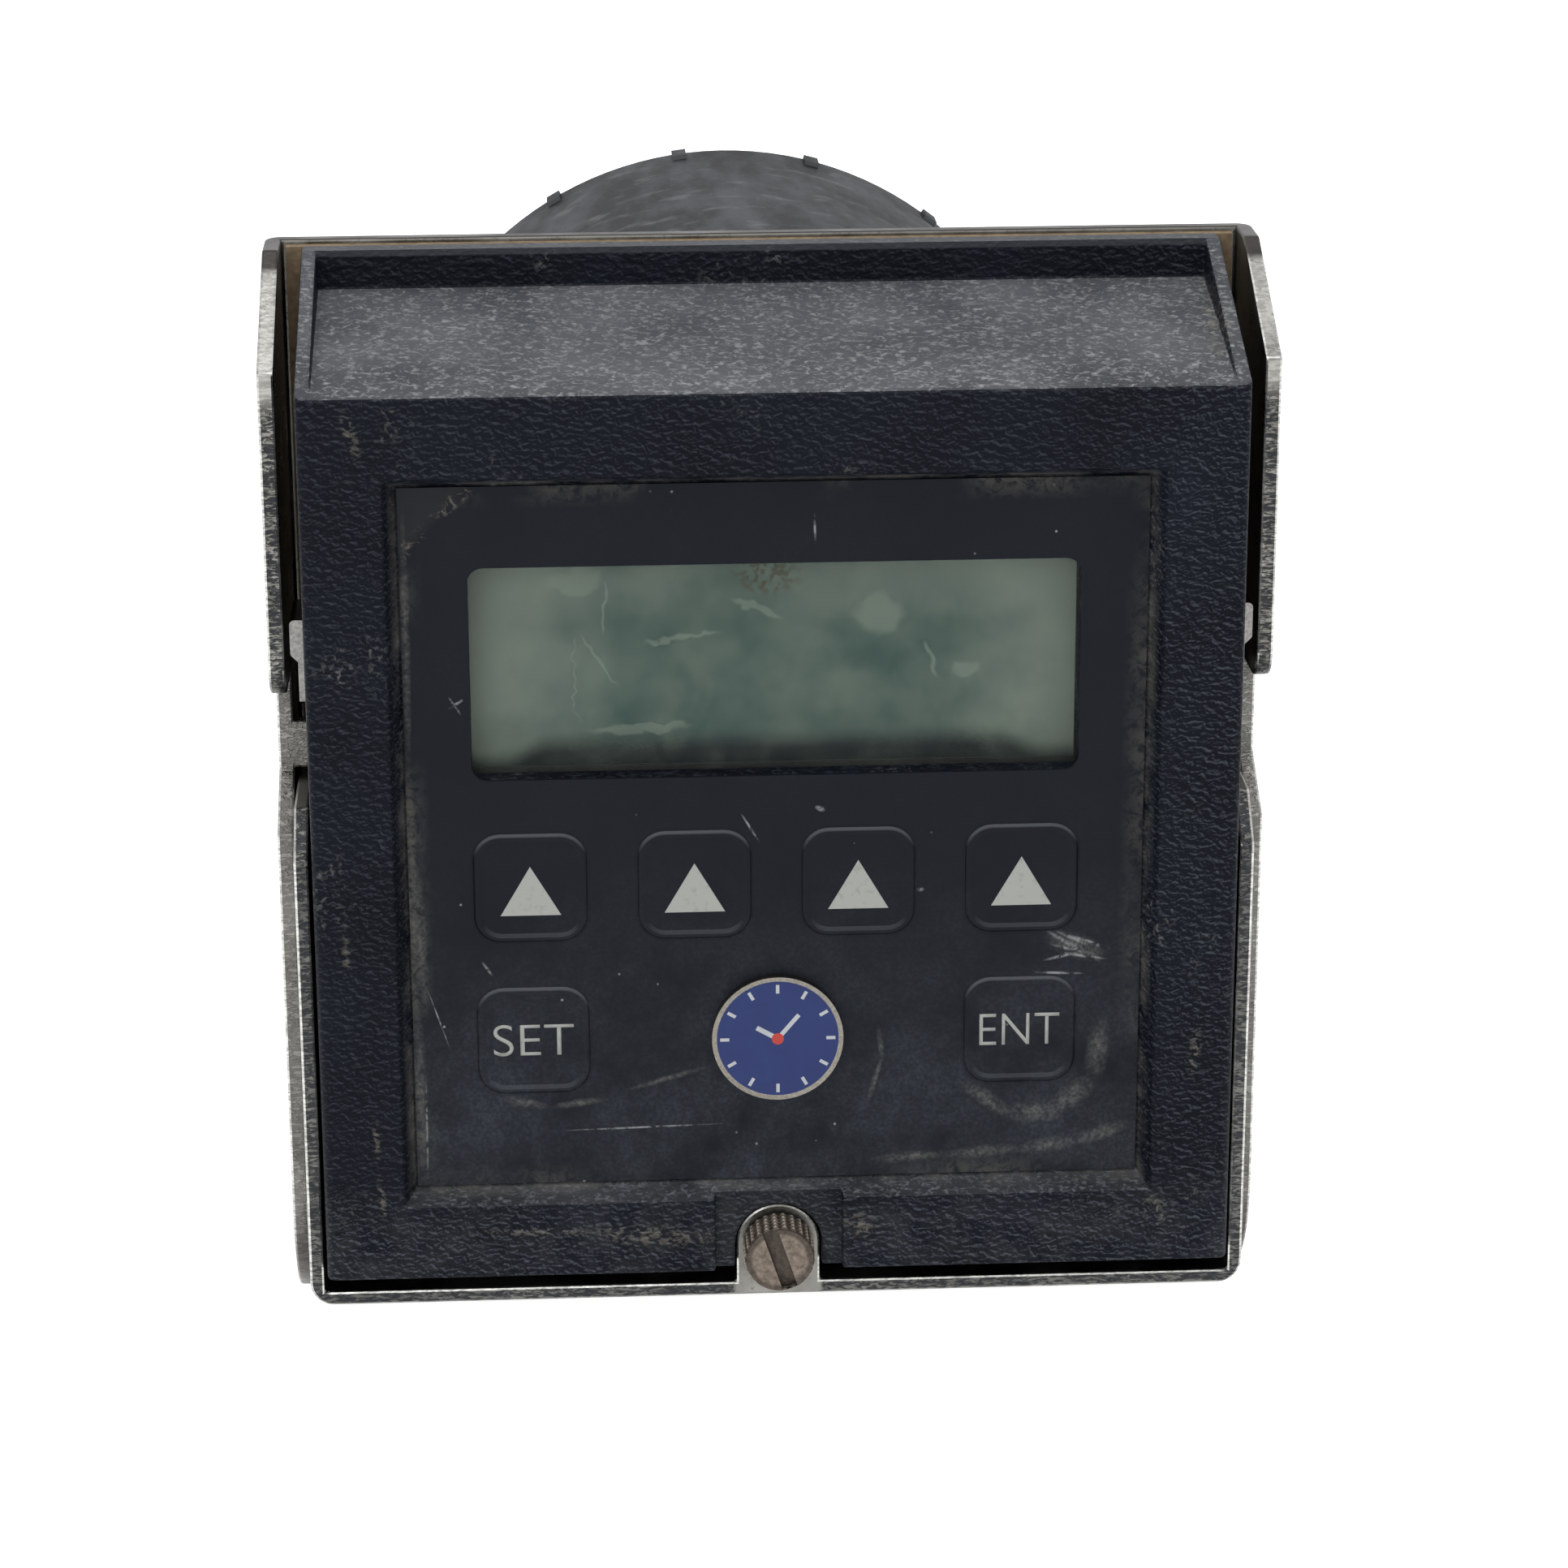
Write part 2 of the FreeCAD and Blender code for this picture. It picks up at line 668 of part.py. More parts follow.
# Film: a printed sheet in the sunk face, with a window for the display and an opening round each key.
def make_film():
    body = new_body("overlay_film")
    slope = "recess_depth * tan(recess_draft)"
    side = f"recess_width / 2 - {slope} - key_gap"
    outline = rectangle(f"-({side})", side, f"-recess_foot + {slope} + key_gap",
                        f"recess_top - {slope} - key_gap")
    window = rectangle("-window_width / 2", "window_width / 2", "window_middle - window_height / 2",
                       "window_middle + window_height / 2")
    openings = [window] + [key_outline(place, "key_gap") for place in KEYS.values()]
    extrude(body, "sheet", "XZ_Plane", "floor_front", "film_front", [outline] + openings)

    def corner_of(outlines):
        spots = [(number(x), number(z)) for corners in outlines for x, z in corners]
        return lambda one, two: along_y(one, two) and any(
            abs(one.x - x) < SAME and abs(one.z - z) < SAME for x, z in spots)

    round_edges(body, "window_corners", "window_round", corner_of([window]))
    round_edges(body, "key_corners", "key_round + key_gap", corner_of(openings[1:]))
    return body


# Keys: the six pads of the film that give under a finger.
def make_keys():
    for node, place in KEYS.items():
        body = new_body(node)
        extrude(body, "pad", "XZ_Plane", "floor_front", "film_front", [key_outline(place, "0")])
        round_edges(body, "corners", "key_round", along_y)


# Badge: a round plate stuck to the film, left without a name.
def make_badge():
    keep(rod("badge_disc", "badge_radius", "0", "-lower_key_drop", "film_front - badge_thick", "film_front"),
         "badge")


# Display: a clear pane, the glass cell, the frame that holds it and the strips that feed it.
def make_display():
    low, high = "window_middle - {0} / 2", "window_middle + {0} / 2"

    def centred(name, width, height, front, back):
        return block(name, f"-({width}) / 2", f"({width}) / 2", front, back,
                     low.format(f"({height})"), high.format(f"({height})"))

    pane_back = "floor_back + pane_thick"
    glass_front = f"{pane_back} + glass_gap"
    glass_back = f"{glass_front} + glass_thick"
    pane_width, pane_height = "window_width + 2 * pane_lap", "window_height + 2 * pane_lap"
    keep(centred("pane", pane_width, pane_height, "floor_back", pane_back), "display_window")
    keep(centred("cell", "glass_width", "glass_height", glass_front, glass_back), "lcd_glass")
    outer = centred("holder_block", "glass_width + 2 * holder_gap + 2 * holder_wall",
                    "glass_height + 2 * holder_gap + 2 * holder_wall", pane_back, "board_front")
    bore = centred("holder_bore", "glass_width + 2 * holder_gap", "glass_height + 2 * holder_gap",
                   glass_front, "board_front")
    sight = centred("holder_sight", "window_width", "window_height", pane_back, glass_front)
    keep(cut_from("lcd_holder", outer, bore, sight), "lcd_holder")
    strips = []
    for index, sign in enumerate((-1, 1)):
        middle = f"window_middle + {sign} * (glass_height / 2 - strip_inset - strip_width / 2)"
        foot, top = f"{middle} - strip_width / 2", f"{middle} + strip_width / 2"
        side = "(glass_width / 2 - strip_inset)"
        strips.append(block(f"strip_{index}", f"-{side}", side, glass_back, "board_front", foot, top))
    keep(group("elastomer_strips", strips), "elastomer_strips")


# Display board: carries the key switches in front and two chips behind.
def make_display_board():
    keep(block("display_card", "-board_width / 2", "board_width / 2", "board_front", "board_back",
               "-board_foot", "board_top"), "display_board")
    switches = []
    for node, (x, z) in KEYS.items():
        side = "switch_side / 2"
        case_front = "board_front - switch_tall"
        case = block(f"{node}_case", f"{x} - {side}", f"{x} + {side}", case_front, "board_front",
                     f"{z} - {side}", f"{z} + {side}")
        tip = "plunger_side / 2"
        plunger = block(f"{node}_plunger", f"{x} - {tip}", f"{x} + {tip}",
                        "floor_front + key_travel + key_gap", case_front, f"{z} - {tip}", f"{z} + {tip}")
        switches.append(joined(f"{node}_switch", case, plunger))
    keep(group("key_switches", switches), "key_switches")
    chips = []
    for index, sign in enumerate((-1, 1)):
        middle = f"{sign} * (chip_length / 2 + part_gap)"
        chips.append(block(f"chip_{index}", f"{middle} - chip_length / 2", f"{middle} + chip_length / 2",
                           "board_back", "board_back + chip_tall", "opening_top - chip_width", "opening_top"))
    keep(group("chips", chips), "chips")


# Module frame: one folded sheet behind the bezel, with side arms, a foot flange and the locking tab.
def make_module_frame():
    body = new_body("module_frame")
    web = [
        ("-arm_out", "flange_foot"),
        ("arm_out", "flange_foot"),
        ("arm_out", "-arm_top"),
        ("half", "-arm_top"),
        ("half", "web_top"),
        ("-half", "web_top"),
        ("-half", "-arm_top"),
        ("-arm_out", "-arm_top"),
    ]
    opening = rectangle("-web_opening / 2", "web_opening / 2", "-opening_foot", "opening_top")
    holes = [("0", "-screw_drop", "screw_radius + screw_clearance + hole_gap")]
    extrude(body, "web", "XZ_Plane", "web_back", "web_front", [web, opening], holes)
    head_room = squares(BOLTS, "bolt_head_room")
    extrude(body, "head_room", "XZ_Plane", "web_back", "web_front", head_room, cut=True)
    arm = [
        ("web_back", "-arm_top"),
        ("arm_front + arm_chamfer", "-arm_top"),
        ("arm_front", "-arm_top - arm_chamfer"),
        ("arm_front", "flange_foot"),
        ("web_back", "flange_foot"),
    ]
    for side, sign in SIDES:
        extrude(body, f"arm_{side}", "YZ_Plane", f"{sign} * arm_in", f"{sign} * arm_out", [arm])
    flange = rectangle("-arm_out", "arm_out", "flange_foot", "flange_top")
    extrude(body, "flange", "XZ_Plane", "web_back", "arm_front", [flange])
    stem = rectangle("-tab_width / 2", "tab_width / 2", "flange_foot", "-screw_drop")
    extrude(body, "tab_stem", "XZ_Plane", "tab_back", "arm_front", [stem])
    extrude(body, "tab_round", "XZ_Plane", "tab_back", "arm_front",
            circles=[("0", "-screw_drop", "tab_width / 2")])
    extrude(body, "tab_hole", "XZ_Plane", "arm_front", "tab_back",
            circles=[("0", "-screw_drop", "screw_radius + screw_clearance")], cut=True)
    round_edges(body, "foot_bends", "bend_round", lambda one, two: (
        along_y(one, two) and near(abs(one.x), "arm_out") and near(one.z, "flange_foot")))
    return body


# Side springs: short strips on the bezel's sides, with a bulge that steadies the module between the wings.
def make_side_springs():
    for side, sign in SIDES:
        body = new_body(f"side_spring_{side}")
        seat, neck, bulge = (f"{sign} * (half + {size})" for size in ("0", "spring_neck", "spring_bulge"))
        foot = "spring_top - spring_length"
        outline = [
            (seat, "spring_top"),
            (bulge, "spring_top"),
            (bulge, "spring_top - spring_bulge_tall"),
            (neck, "spring_top - spring_bulge_tall - spring_bulge + spring_neck"),
            (neck, foot),
            (seat, foot),
        ]
        front = "face + spring_setback"
        extrude(body, "strip", "XZ_Plane", front, f"{front} + spring_width", [outline])
        round_edges(body, "bulge_rounds", "spring_round", lambda one, two: (
            along_y(one, two) and near(abs(one.x), "half + spring_bulge")))


# Lock screw: a slotted thumb screw through the tab, the module and the plate, kept by a ring behind the tab.
def make_lock_screw():
    head_back = "arm_front - screw_gap"
    head_front = f"{head_back} - screw_head_tall"
    head = rod("lock_head", "screw_head", "0", "-screw_drop", head_front, head_back)
    shank = rod("lock_shank", "screw_radius", "0", "-screw_drop", head_back, "-screw_short")
    slot = doc.addObject("Part::Box", "lock_slot")
    slot.setExpression("Length", formula("slot_width"))
    slot.setExpression("Width", formula("slot_depth + cut_past"))
    slot.setExpression("Height", formula("4 * screw_head"))
    slot.Placement.Rotation = FreeCAD.Rotation(Vector(0, 1, 0), -number("slot_lean"))
    across = "-slot_width / 2 * cos(slot_lean) + 2 * screw_head * sin(slot_lean)"
    up = "-screw_drop - slot_width / 2 * sin(slot_lean) - 2 * screw_head * cos(slot_lean)"
    set_place(slot, across, f"{head_front} - cut_past", up)
    keep(cut_from("lock_screw", joined("lock", head, shank), slot), "lock_screw")
    ring_front = "tab_back + screw_gap"
    outer = rod("ring_outer", "ring_radius", "0", "-screw_drop", ring_front, f"{ring_front} + ring_thick")
    inner = rod("ring_inner", "screw_radius", "0", "-screw_drop", ring_front, f"{ring_front} + ring_thick")
    keep(cut_from("screw_retainer", outer, inner), "screw_retainer")


# Plug: a moulded disc with a blade for each pole, carried behind the module frame by four posts.
def make_plug():
    body = new_body("plug_base")
    extrude(body, "disc", "XZ_Plane", "plug_front", "plug_back", [], [("0", "0", "plug_radius")])
    wide, thick = "blade_width / 2", "blade_thick / 2"
    slot = rectangle(f"-{thick}", thick, f"pole_circle - {wide}", f"pole_circle + {wide}")
    cut = extrude(body, "blade_slot", "XZ_Plane", "plug_front", "plug_back", [slot], cut=True)
    turn_copies(body, "blade_slots", [cut], "pole_count")
    blades = new_body("plug_blades")
    pad = extrude(blades, "blade", "XZ_Plane", "plug_front", "plug_back + blade_reach", [slot])
    turn_copies(blades, "blade_ring", [pad], "pole_count")
    keep(hexagons("post_bars", "post_corner", POSTS, "web_back", "plug_front"), "chassis_posts")
    keep(hexagons("post_bolts", "post_bolt_head", POSTS, "web_front - post_bolt_tall", "web_front"),
         "chassis_screws")


# Power board and its parts, inside the housing.
def make_power_parts():
    keep(block("power_card", "-power_width / 2", "power_width / 2", "board_back + card_gap", "plug_front",
               "-power_drop", "power_top"), "power_board")
    right_edge = "power_width / 2 - part_gap"
    relay_left = f"{right_edge} - relay_width"
    keep(block("relay_case", relay_left, right_edge, "plug_front - part_gap - relay_length",
               "plug_front - part_gap", "power_top", "power_top + relay_tall"), "relay")
    coil_right = f"{relay_left} - part_gap"
    coil_left = f"{coil_right} - transformer_width"
    back = "plug_front - part_gap"
    front = f"{back} - transformer_length"
    core = block("core", coil_left, coil_right, f"{front} + core_lap", f"{back} - core_lap",
                 "power_top", "power_top + transformer_tall")
    coil = block("coil", f"{coil_left} + core_lap", f"{coil_right} - core_lap", front, back,
                 "power_top + core_lap", "power_top + transformer_tall - core_lap")
    keep(joined("transformer", core, coil), "transformer")
    caps = []
    cap_back = f"{front} - part_gap"
    for index, left in enumerate(("-film_cap_width - part_gap / 2", "part_gap / 2")):
        caps.append(block(f"cap_{index}", left, f"{left} + film_cap_width", f"{cap_back} - film_cap_length",
                          cap_back, "power_top", "power_top + film_cap_tall"))
    keep(group("capacitors", caps), "capacitors")


make_mounting_frame()
make_gasket()
make_housing()
make_housing_bolts()
make_terminal_base()
make_terminals()
make_receptacles()
make_bezel()
make_film()
make_keys()
make_badge()
make_display()
make_display_board()
make_module_frame()
make_side_springs()
make_lock_screw()
make_plug()
make_power_parts()
doc.recompute()

for item in doc.Objects:
    if any(word in item.State for word in ("Invalid", "Error")):
        raise RuntimeError(f"{item.Label} failed: {item.State}")
for node, item in nodes.items():
    if item.Shape.isNull() or not item.Shape.isValid() or not item.Shape.Solids:
        raise RuntimeError(f"{node} has no sound shape")

os.makedirs("parts", exist_ok=True)
for node, item in nodes.items():
    item.Shape.exportStep(f"parts/{node}.step")
    print(node, len(item.Shape.Solids), round(item.Shape.Volume, 1))
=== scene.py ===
import math

import bmesh
import bpy
from mathutils import Matrix, Vector


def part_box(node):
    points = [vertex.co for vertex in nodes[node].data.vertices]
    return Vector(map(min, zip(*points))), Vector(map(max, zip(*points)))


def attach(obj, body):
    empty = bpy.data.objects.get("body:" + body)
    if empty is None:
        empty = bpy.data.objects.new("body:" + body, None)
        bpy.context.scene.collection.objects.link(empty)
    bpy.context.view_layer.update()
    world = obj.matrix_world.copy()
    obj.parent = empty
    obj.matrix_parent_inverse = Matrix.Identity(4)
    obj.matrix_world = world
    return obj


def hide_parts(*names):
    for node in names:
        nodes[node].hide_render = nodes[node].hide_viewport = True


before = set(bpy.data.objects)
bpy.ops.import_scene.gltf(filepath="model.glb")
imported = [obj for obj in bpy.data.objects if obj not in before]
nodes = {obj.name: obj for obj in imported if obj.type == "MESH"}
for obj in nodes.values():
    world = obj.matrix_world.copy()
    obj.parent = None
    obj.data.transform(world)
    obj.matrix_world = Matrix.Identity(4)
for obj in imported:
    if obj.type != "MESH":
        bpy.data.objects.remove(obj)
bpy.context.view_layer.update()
scene = bpy.context.scene
scene.view_settings.view_transform = "Standard"
MM = 0.001

# Camera: a long lens a third of a metre off, a little to the left of the front and looking down on it.
# Its place and lens come from a fit to the outline's corners.
CAMERA_TARGET_MM = Vector((0.525, -24.4, 1.45))
CAMERA_DISTANCE_MM = 363.3
CAMERA_AZIMUTH = math.radians(-3.025)
CAMERA_ELEVATION = math.radians(18.783)
CAMERA_ROLL = math.radians(-0.2)
SENSOR_MM = 36.0
FOCAL_PX = 5578.0
IMAGE_PX = 1932.0

backward = Vector((
    math.sin(CAMERA_AZIMUTH) * math.cos(CAMERA_ELEVATION),
    -math.cos(CAMERA_AZIMUTH) * math.cos(CAMERA_ELEVATION),
    math.sin(CAMERA_ELEVATION),
))
level_right = Vector((0, 0, 1)).cross(backward).normalized()
level_up = backward.cross(level_right)
right = level_right * math.cos(CAMERA_ROLL) + level_up * math.sin(CAMERA_ROLL)
up = backward.cross(right)
lens = bpy.data.cameras.new("front_camera")
lens.sensor_width = SENSOR_MM
lens.lens = SENSOR_MM * FOCAL_PX / IMAGE_PX
lens.clip_start = 0.01
camera = bpy.data.objects.new("front_camera", lens)
scene.collection.objects.link(camera)
eye = (CAMERA_TARGET_MM + backward * CAMERA_DISTANCE_MM) * MM
camera.matrix_world = Matrix.Translation(eye) @ Matrix((right, up, backward)).transposed().to_4x4()
scene.camera = camera


# Studio: a pale floor under the mounting plate, a big soft light overhead and even light all round.
# Camera, mirror and glass rays see a plain white surround; the floor keeps the object's shadow.
def linear(code):
    """An sRGB hex colour as a linear RGBA value."""
    parts = [int(code[place:place + 2], 16) / 255 for place in (1, 3, 5)]
    light = [part / 12.92 if part <= 0.04045 else ((part + 0.055) / 1.055) ** 2.4 for part in parts]
    return (*light, 1.0)


def feed(node, links):
    """Give sockets of a node a value, a hex colour, or what feeds them: a node or one of its outputs."""
    for socket, value in links.items():
        if isinstance(value, bpy.types.Node):
            value = next(output for output in value.outputs if output.enabled)
        if isinstance(value, bpy.types.NodeSocket):
            node.id_data.links.new(value, node.inputs[socket])
        else:
            node.inputs[socket].default_value = linear(value) if isinstance(value, str) else value


def add(tree, kind, links=None, **settings):
    """A shader node with its settings and links; every Mix here is of colours."""
    node = tree.nodes.new("ShaderNode" + kind)
    if kind == "Mix":
        node.data_type = "RGBA"
    for name, value in settings.items():
        setattr(node, name, value)
    feed(node, links or {})
    return node


def seen_directly(tree):
    """A mask for camera, mirror and glass rays."""
    path = add(tree, "LightPath")
    seen = add(tree, "Math", {
        0: path.outputs["Is Camera Ray"], 1: path.outputs["Is Glossy Ray"]}, operation="MAXIMUM")
    return add(tree, "Math", {0: seen, 1: path.outputs["Is Transmission Ray"]}, operation="MAXIMUM")


FLOOR_SIDE = 3.0
FLOOR_DROP_MM = 49.55
PAPER_GLOW = 0.9
SKY_STRENGTH = 0.55
WHITE = (1, 1, 1, 1)
floor_mesh = bmesh.new()
bmesh.ops.create_grid(floor_mesh, x_segments=1, y_segments=1, size=FLOOR_SIDE / 2)
bmesh.ops.translate(floor_mesh, verts=floor_mesh.verts, vec=(0, 0, -FLOOR_DROP_MM * MM))
floor_data = bpy.data.meshes.new("floor")
floor_mesh.to_mesh(floor_data)
floor_mesh.free()
floor = bpy.data.objects.new("floor", floor_data)
scene.collection.objects.link(floor)

paper = bpy.data.materials.new("white_backdrop_paper")
paper.use_nodes = True
paper_tree = paper.node_tree
paper_tree.nodes.clear()
paper_skin = add(paper_tree, "BsdfDiffuse", {"Color": "#f4f4f3"})
paper_glow = add(paper_tree, "Emission", {"Color": WHITE, "Strength": PAPER_GLOW})
paper_sum = add(paper_tree, "AddShader", {0: paper_skin, 1: paper_glow})
paper_mix = add(paper_tree, "MixShader", {0: seen_directly(paper_tree), 1: paper_skin, 2: paper_sum})
add(paper_tree, "OutputMaterial", {"Surface": paper_mix})
floor.data.materials.append(paper)

sky = bpy.data.worlds.new("even_studio_light")
sky.use_nodes = True
sky_tree = sky.node_tree
sky_tree.nodes.clear()
sky_level = add(sky_tree, "MapRange", {
    "Value": seen_directly(sky_tree), "To Min": SKY_STRENGTH, "To Max": 1.0})
sky_light = add(sky_tree, "Background", {"Color": WHITE, "Strength": sky_level})
add(sky_tree, "OutputWorld", {"Surface": sky_light})
scene.world = sky

for name, place, side, watts in (
    ("overhead_softbox", (-0.05, -0.10, 0.75), 0.7, 3.4),
    ("front_fill", (-0.25, -0.80, 0.30), 0.6, 1.6),
):
    lamp = bpy.data.lights.new(name, "AREA")
    lamp.shape = "SQUARE"
    lamp.size = side
    lamp.energy = watts
    light = bpy.data.objects.new(name, lamp)
    scene.collection.objects.link(light)
    light.location = place
    light.rotation_euler = Vector(place).to_track_quat("Z", "Y").to_euler()


# Mounting frame: one folded sheet of zinc-plated steel that is fixed to the panel, with two profiled wings.
# Punched from strip: its front-facing cut edges are torn, dark with pale flecks, and the rims beside them
# get a bright painted highlight.
def new_finish(name):
    """A material with its shader, and places on the piece in millimetres."""
    finish = bpy.data.materials.new(name)
    finish.use_nodes = True
    tree = finish.node_tree
    tree.nodes.clear()
    shader = add(tree, "BsdfPrincipled")
    add(tree, "OutputMaterial", {"Surface": shader})
    coordinates = add(tree, "TexCoord")
    place = add(tree, "Mapping", {"Vector": coordinates.outputs["Object"], "Scale": (1 / MM,) * 3})
    return finish, tree, shader, place


def dress(finish, *names):
    """Give CAD nodes a finish."""
    for name in names:
        data = nodes[name].data
        data.materials.clear()
        data.materials.append(finish)
        for face in data.polygons:
            face.material_index = 0


EDGE_MM = 0.2
SHARP_ANGLE = math.radians(25)
FLAT_ANGLE = math.radians(0.5)
WELD_MM = 0.001


def softened(name, width):
    """A welded copy of a CAD node with its sharp edges rounded over."""
    mesh = bmesh.new()
    mesh.from_mesh(nodes[name].data)
    bmesh.ops.remove_doubles(mesh, verts=mesh.verts, dist=WELD_MM * MM)
    bmesh.ops.dissolve_limit(mesh, angle_limit=FLAT_ANGLE, verts=mesh.verts, edges=mesh.edges)
    sharp = [edge for edge in mesh.edges if edge.is_manifold and edge.calc_face_angle(0.0) > SHARP_ANGLE]
    bmesh.ops.bevel(mesh, geom=sharp, offset=width * MM, offset_type="OFFSET", segments=2, profile=0.5,
                    affect="EDGES", clamp_overlap=False, material=-1)
    return mesh


def new_piece(name, mesh, finish, body):
    """A finished mesh as a piece that rides on a body."""
    data = bpy.data.meshes.new(name)
    mesh.to_mesh(data)
    mesh.free()
    data.materials.append(finish)
    piece = bpy.data.objects.new(name, data)
    scene.collection.objects.link(piece)
    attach(piece, body)
    return piece


# Zinc-plated mild steel, dulled by handling: a grey metal with cloudy passivation and specks.
# Sheared edges that face the front are torn: dark, with short pale flecks across them.
ZINC_CLOUD_MM = 5.0
ZINC_GRIT_MM = 0.4
TEAR_LONG_MM = 0.9
TEAR_PITCH_MM = 0.24
TEAR_FADE_MM = 2.0
PLATE_EDGE_MM = 40.0
PLATE_FRONT_MM = -2.5
FLANGE_TOP_MM = -42.6
TAB_HALF_WIDTH_MM = 3.5
ARM_INSIDE_MM = 37.7


def zinc_finish(name, torn_from, torn_to, painted_shade_floor):
    """Zinc plate whose sheared front edges are torn between two heights."""
    finish, tree, shader, place = new_finish(name)
    clouds = add(tree, "TexNoise", {"Vector": place, "Scale": 1 / ZINC_CLOUD_MM, "Detail": 4.0})
    cloud_level = add(tree, "MapRange", {"Value": clouds, "From Min": 0.35, "From Max": 0.68})
    colour = add(tree, "Mix", {"Factor": cloud_level, 6: "#666561", 7: "#878681"})
    grit = add(tree, "TexNoise", {"Vector": place, "Scale": 1 / ZINC_GRIT_MM, "Detail": 3.0})
    grit_level = add(tree, "MapRange", {"Value": grit, "From Min": 0.60, "From Max": 0.74, "To Max": 0.5})
    spotted = add(tree, "Mix", {"Factor": grit_level, 6: colour, 7: "#3d3b37"})
    tear_place = add(tree, "Mapping", {
        "Vector": place, "Scale": (1 / TEAR_LONG_MM, 0.2, 1 / TEAR_PITCH_MM)})
    tears = add(tree, "TexNoise", {
        "Vector": tear_place, "Scale": 1.0, "Detail": 3.0, "Roughness": 0.6, "Distortion": 0.8})
    # Faces that look forward are cut edges, or the rims beside them.
    # Rims look a little sideways, or up on the foot flange, and get a painted highlight.
    x, y, z = add(tree, "SeparateXYZ", {0: place}).outputs
    surface = add(tree, "NewGeometry")
    facing = add(tree, "SeparateXYZ", {0: surface.outputs["True Normal"]})
    forward = add(tree, "MapRange", {"Value": facing.outputs["Y"], "From Min": -0.3, "From Max": -0.4})
    slanted = add(tree, "MapRange", {"Value": facing.outputs["Y"], "From Min": -0.98, "From Max": -0.93})
    off_plate = add(tree, "MapRange", {
        "Value": y, "From Min": PLATE_FRONT_MM, "From Max": PLATE_FRONT_MM - 1.0})
    forward = add(tree, "Math", {0: forward, 1: off_plate}, operation="MULTIPLY")
    at_foot = add(tree, "MapRange", {
        "Value": z, "From Min": FLANGE_TOP_MM, "From Max": FLANGE_TOP_MM - 0.3})
    foot_highlight = add(tree, "Math", {0: at_foot, 1: slanted}, operation="MULTIPLY")
    off_middle = add(tree, "Math", {0: x}, operation="ABSOLUTE")
    at_side = add(tree, "MapRange", {
        "Value": off_middle, "From Min": ARM_INSIDE_MM - 0.4, "From Max": ARM_INSIDE_MM})
    foot_highlight = add(tree, "Math", {0: foot_highlight, 1: at_side}, operation="SUBTRACT", use_clamp=True)
    sideways = add(tree, "Math", {0: facing.outputs["X"]}, operation="ABSOLUTE")
    side_highlight = add(tree, "MapRange", {"Value": sideways, "From Min": 0.05, "From Max": 0.2})
    rim = add(tree, "Math", {0: foot_highlight, 1: side_highlight}, operation="MAXIMUM")
    rim = add(tree, "Math", {0: rim, 1: forward}, operation="MULTIPLY")
    cut_edge = add(tree, "Math", {0: forward, 1: rim}, operation="SUBTRACT")
    # The top ends of the cut edges also get a painted highlight; both are painted in a pale colour.
    top_highlight = add(tree, "MapRange", {
        "Value": z, "From Min": torn_to - TEAR_FADE_MM, "From Max": torn_to, "To Max": 0.4})
    top_highlight = add(tree, "Math", {0: top_highlight, 1: cut_edge}, operation="MULTIPLY")
    bright = add(tree, "Math", {0: rim, 1: top_highlight}, operation="MAXIMUM")
    highlight_level = add(tree, "MapRange", {"Value": tears, "From Min": 0.38, "From Max": 0.60})
    highlight_colour = add(tree, "Mix", {"Factor": highlight_level, 6: "#8d8c89", 7: "#c6c6c2"})
    with_painted_light = add(tree, "Mix", {"Factor": bright, 6: spotted, 7: highlight_colour})
    # What looks down is painted dark as shade, and the plate's top edge is painted dark.
    painted_shade_below = add(tree, "MapRange", {
        "Value": facing.outputs["Z"], "From Min": -0.1, "From Max": -0.4, "To Max": 0.65})
    with_painted_light = add(tree, "Mix", {"Factor": painted_shade_below, 6: with_painted_light, 7: "#3b3a38"})
    looks_up = add(tree, "MapRange", {"Value": facing.outputs["Z"], "From Min": 0.3, "From Max": 0.6})
    on_top = add(tree, "MapRange", {
        "Value": z, "From Min": PLATE_EDGE_MM, "From Max": PLATE_EDGE_MM + 0.5, "To Max": 0.95})
    dark_top_edge = add(tree, "Math", {0: looks_up, 1: on_top}, operation="MULTIPLY")
    with_painted_light = add(tree, "Mix", {"Factor": dark_top_edge, 6: with_painted_light, 7: "#322e2d"})
    # The tears lie on the sides and the flange, between the two heights, and thin out below them.
    above = add(tree, "MapRange", {
        "Value": z, "From Min": torn_from - TEAR_FADE_MM, "From Max": torn_from, "To Min": 0.45})
    below = add(tree, "MapRange", {"Value": z, "From Min": torn_to, "From Max": torn_to - TEAR_FADE_MM})
    zone = add(tree, "Math", {0: above, 1: below}, operation="MULTIPLY")
    zone = add(tree, "Math", {0: zone, 1: cut_edge}, operation="MULTIPLY")
    off_tab = add(tree, "MapRange", {
        "Value": off_middle, "From Min": TAB_HALF_WIDTH_MM, "From Max": TAB_HALF_WIDTH_MM + 0.3})
    on_flange = add(tree, "Math", {0: at_foot, 1: off_tab}, operation="MULTIPLY")
    on_edge = add(tree, "Math", {0: on_flange, 1: at_side}, operation="MAXIMUM")
    zone = add(tree, "Math", {0: zone, 1: on_edge}, operation="MULTIPLY")
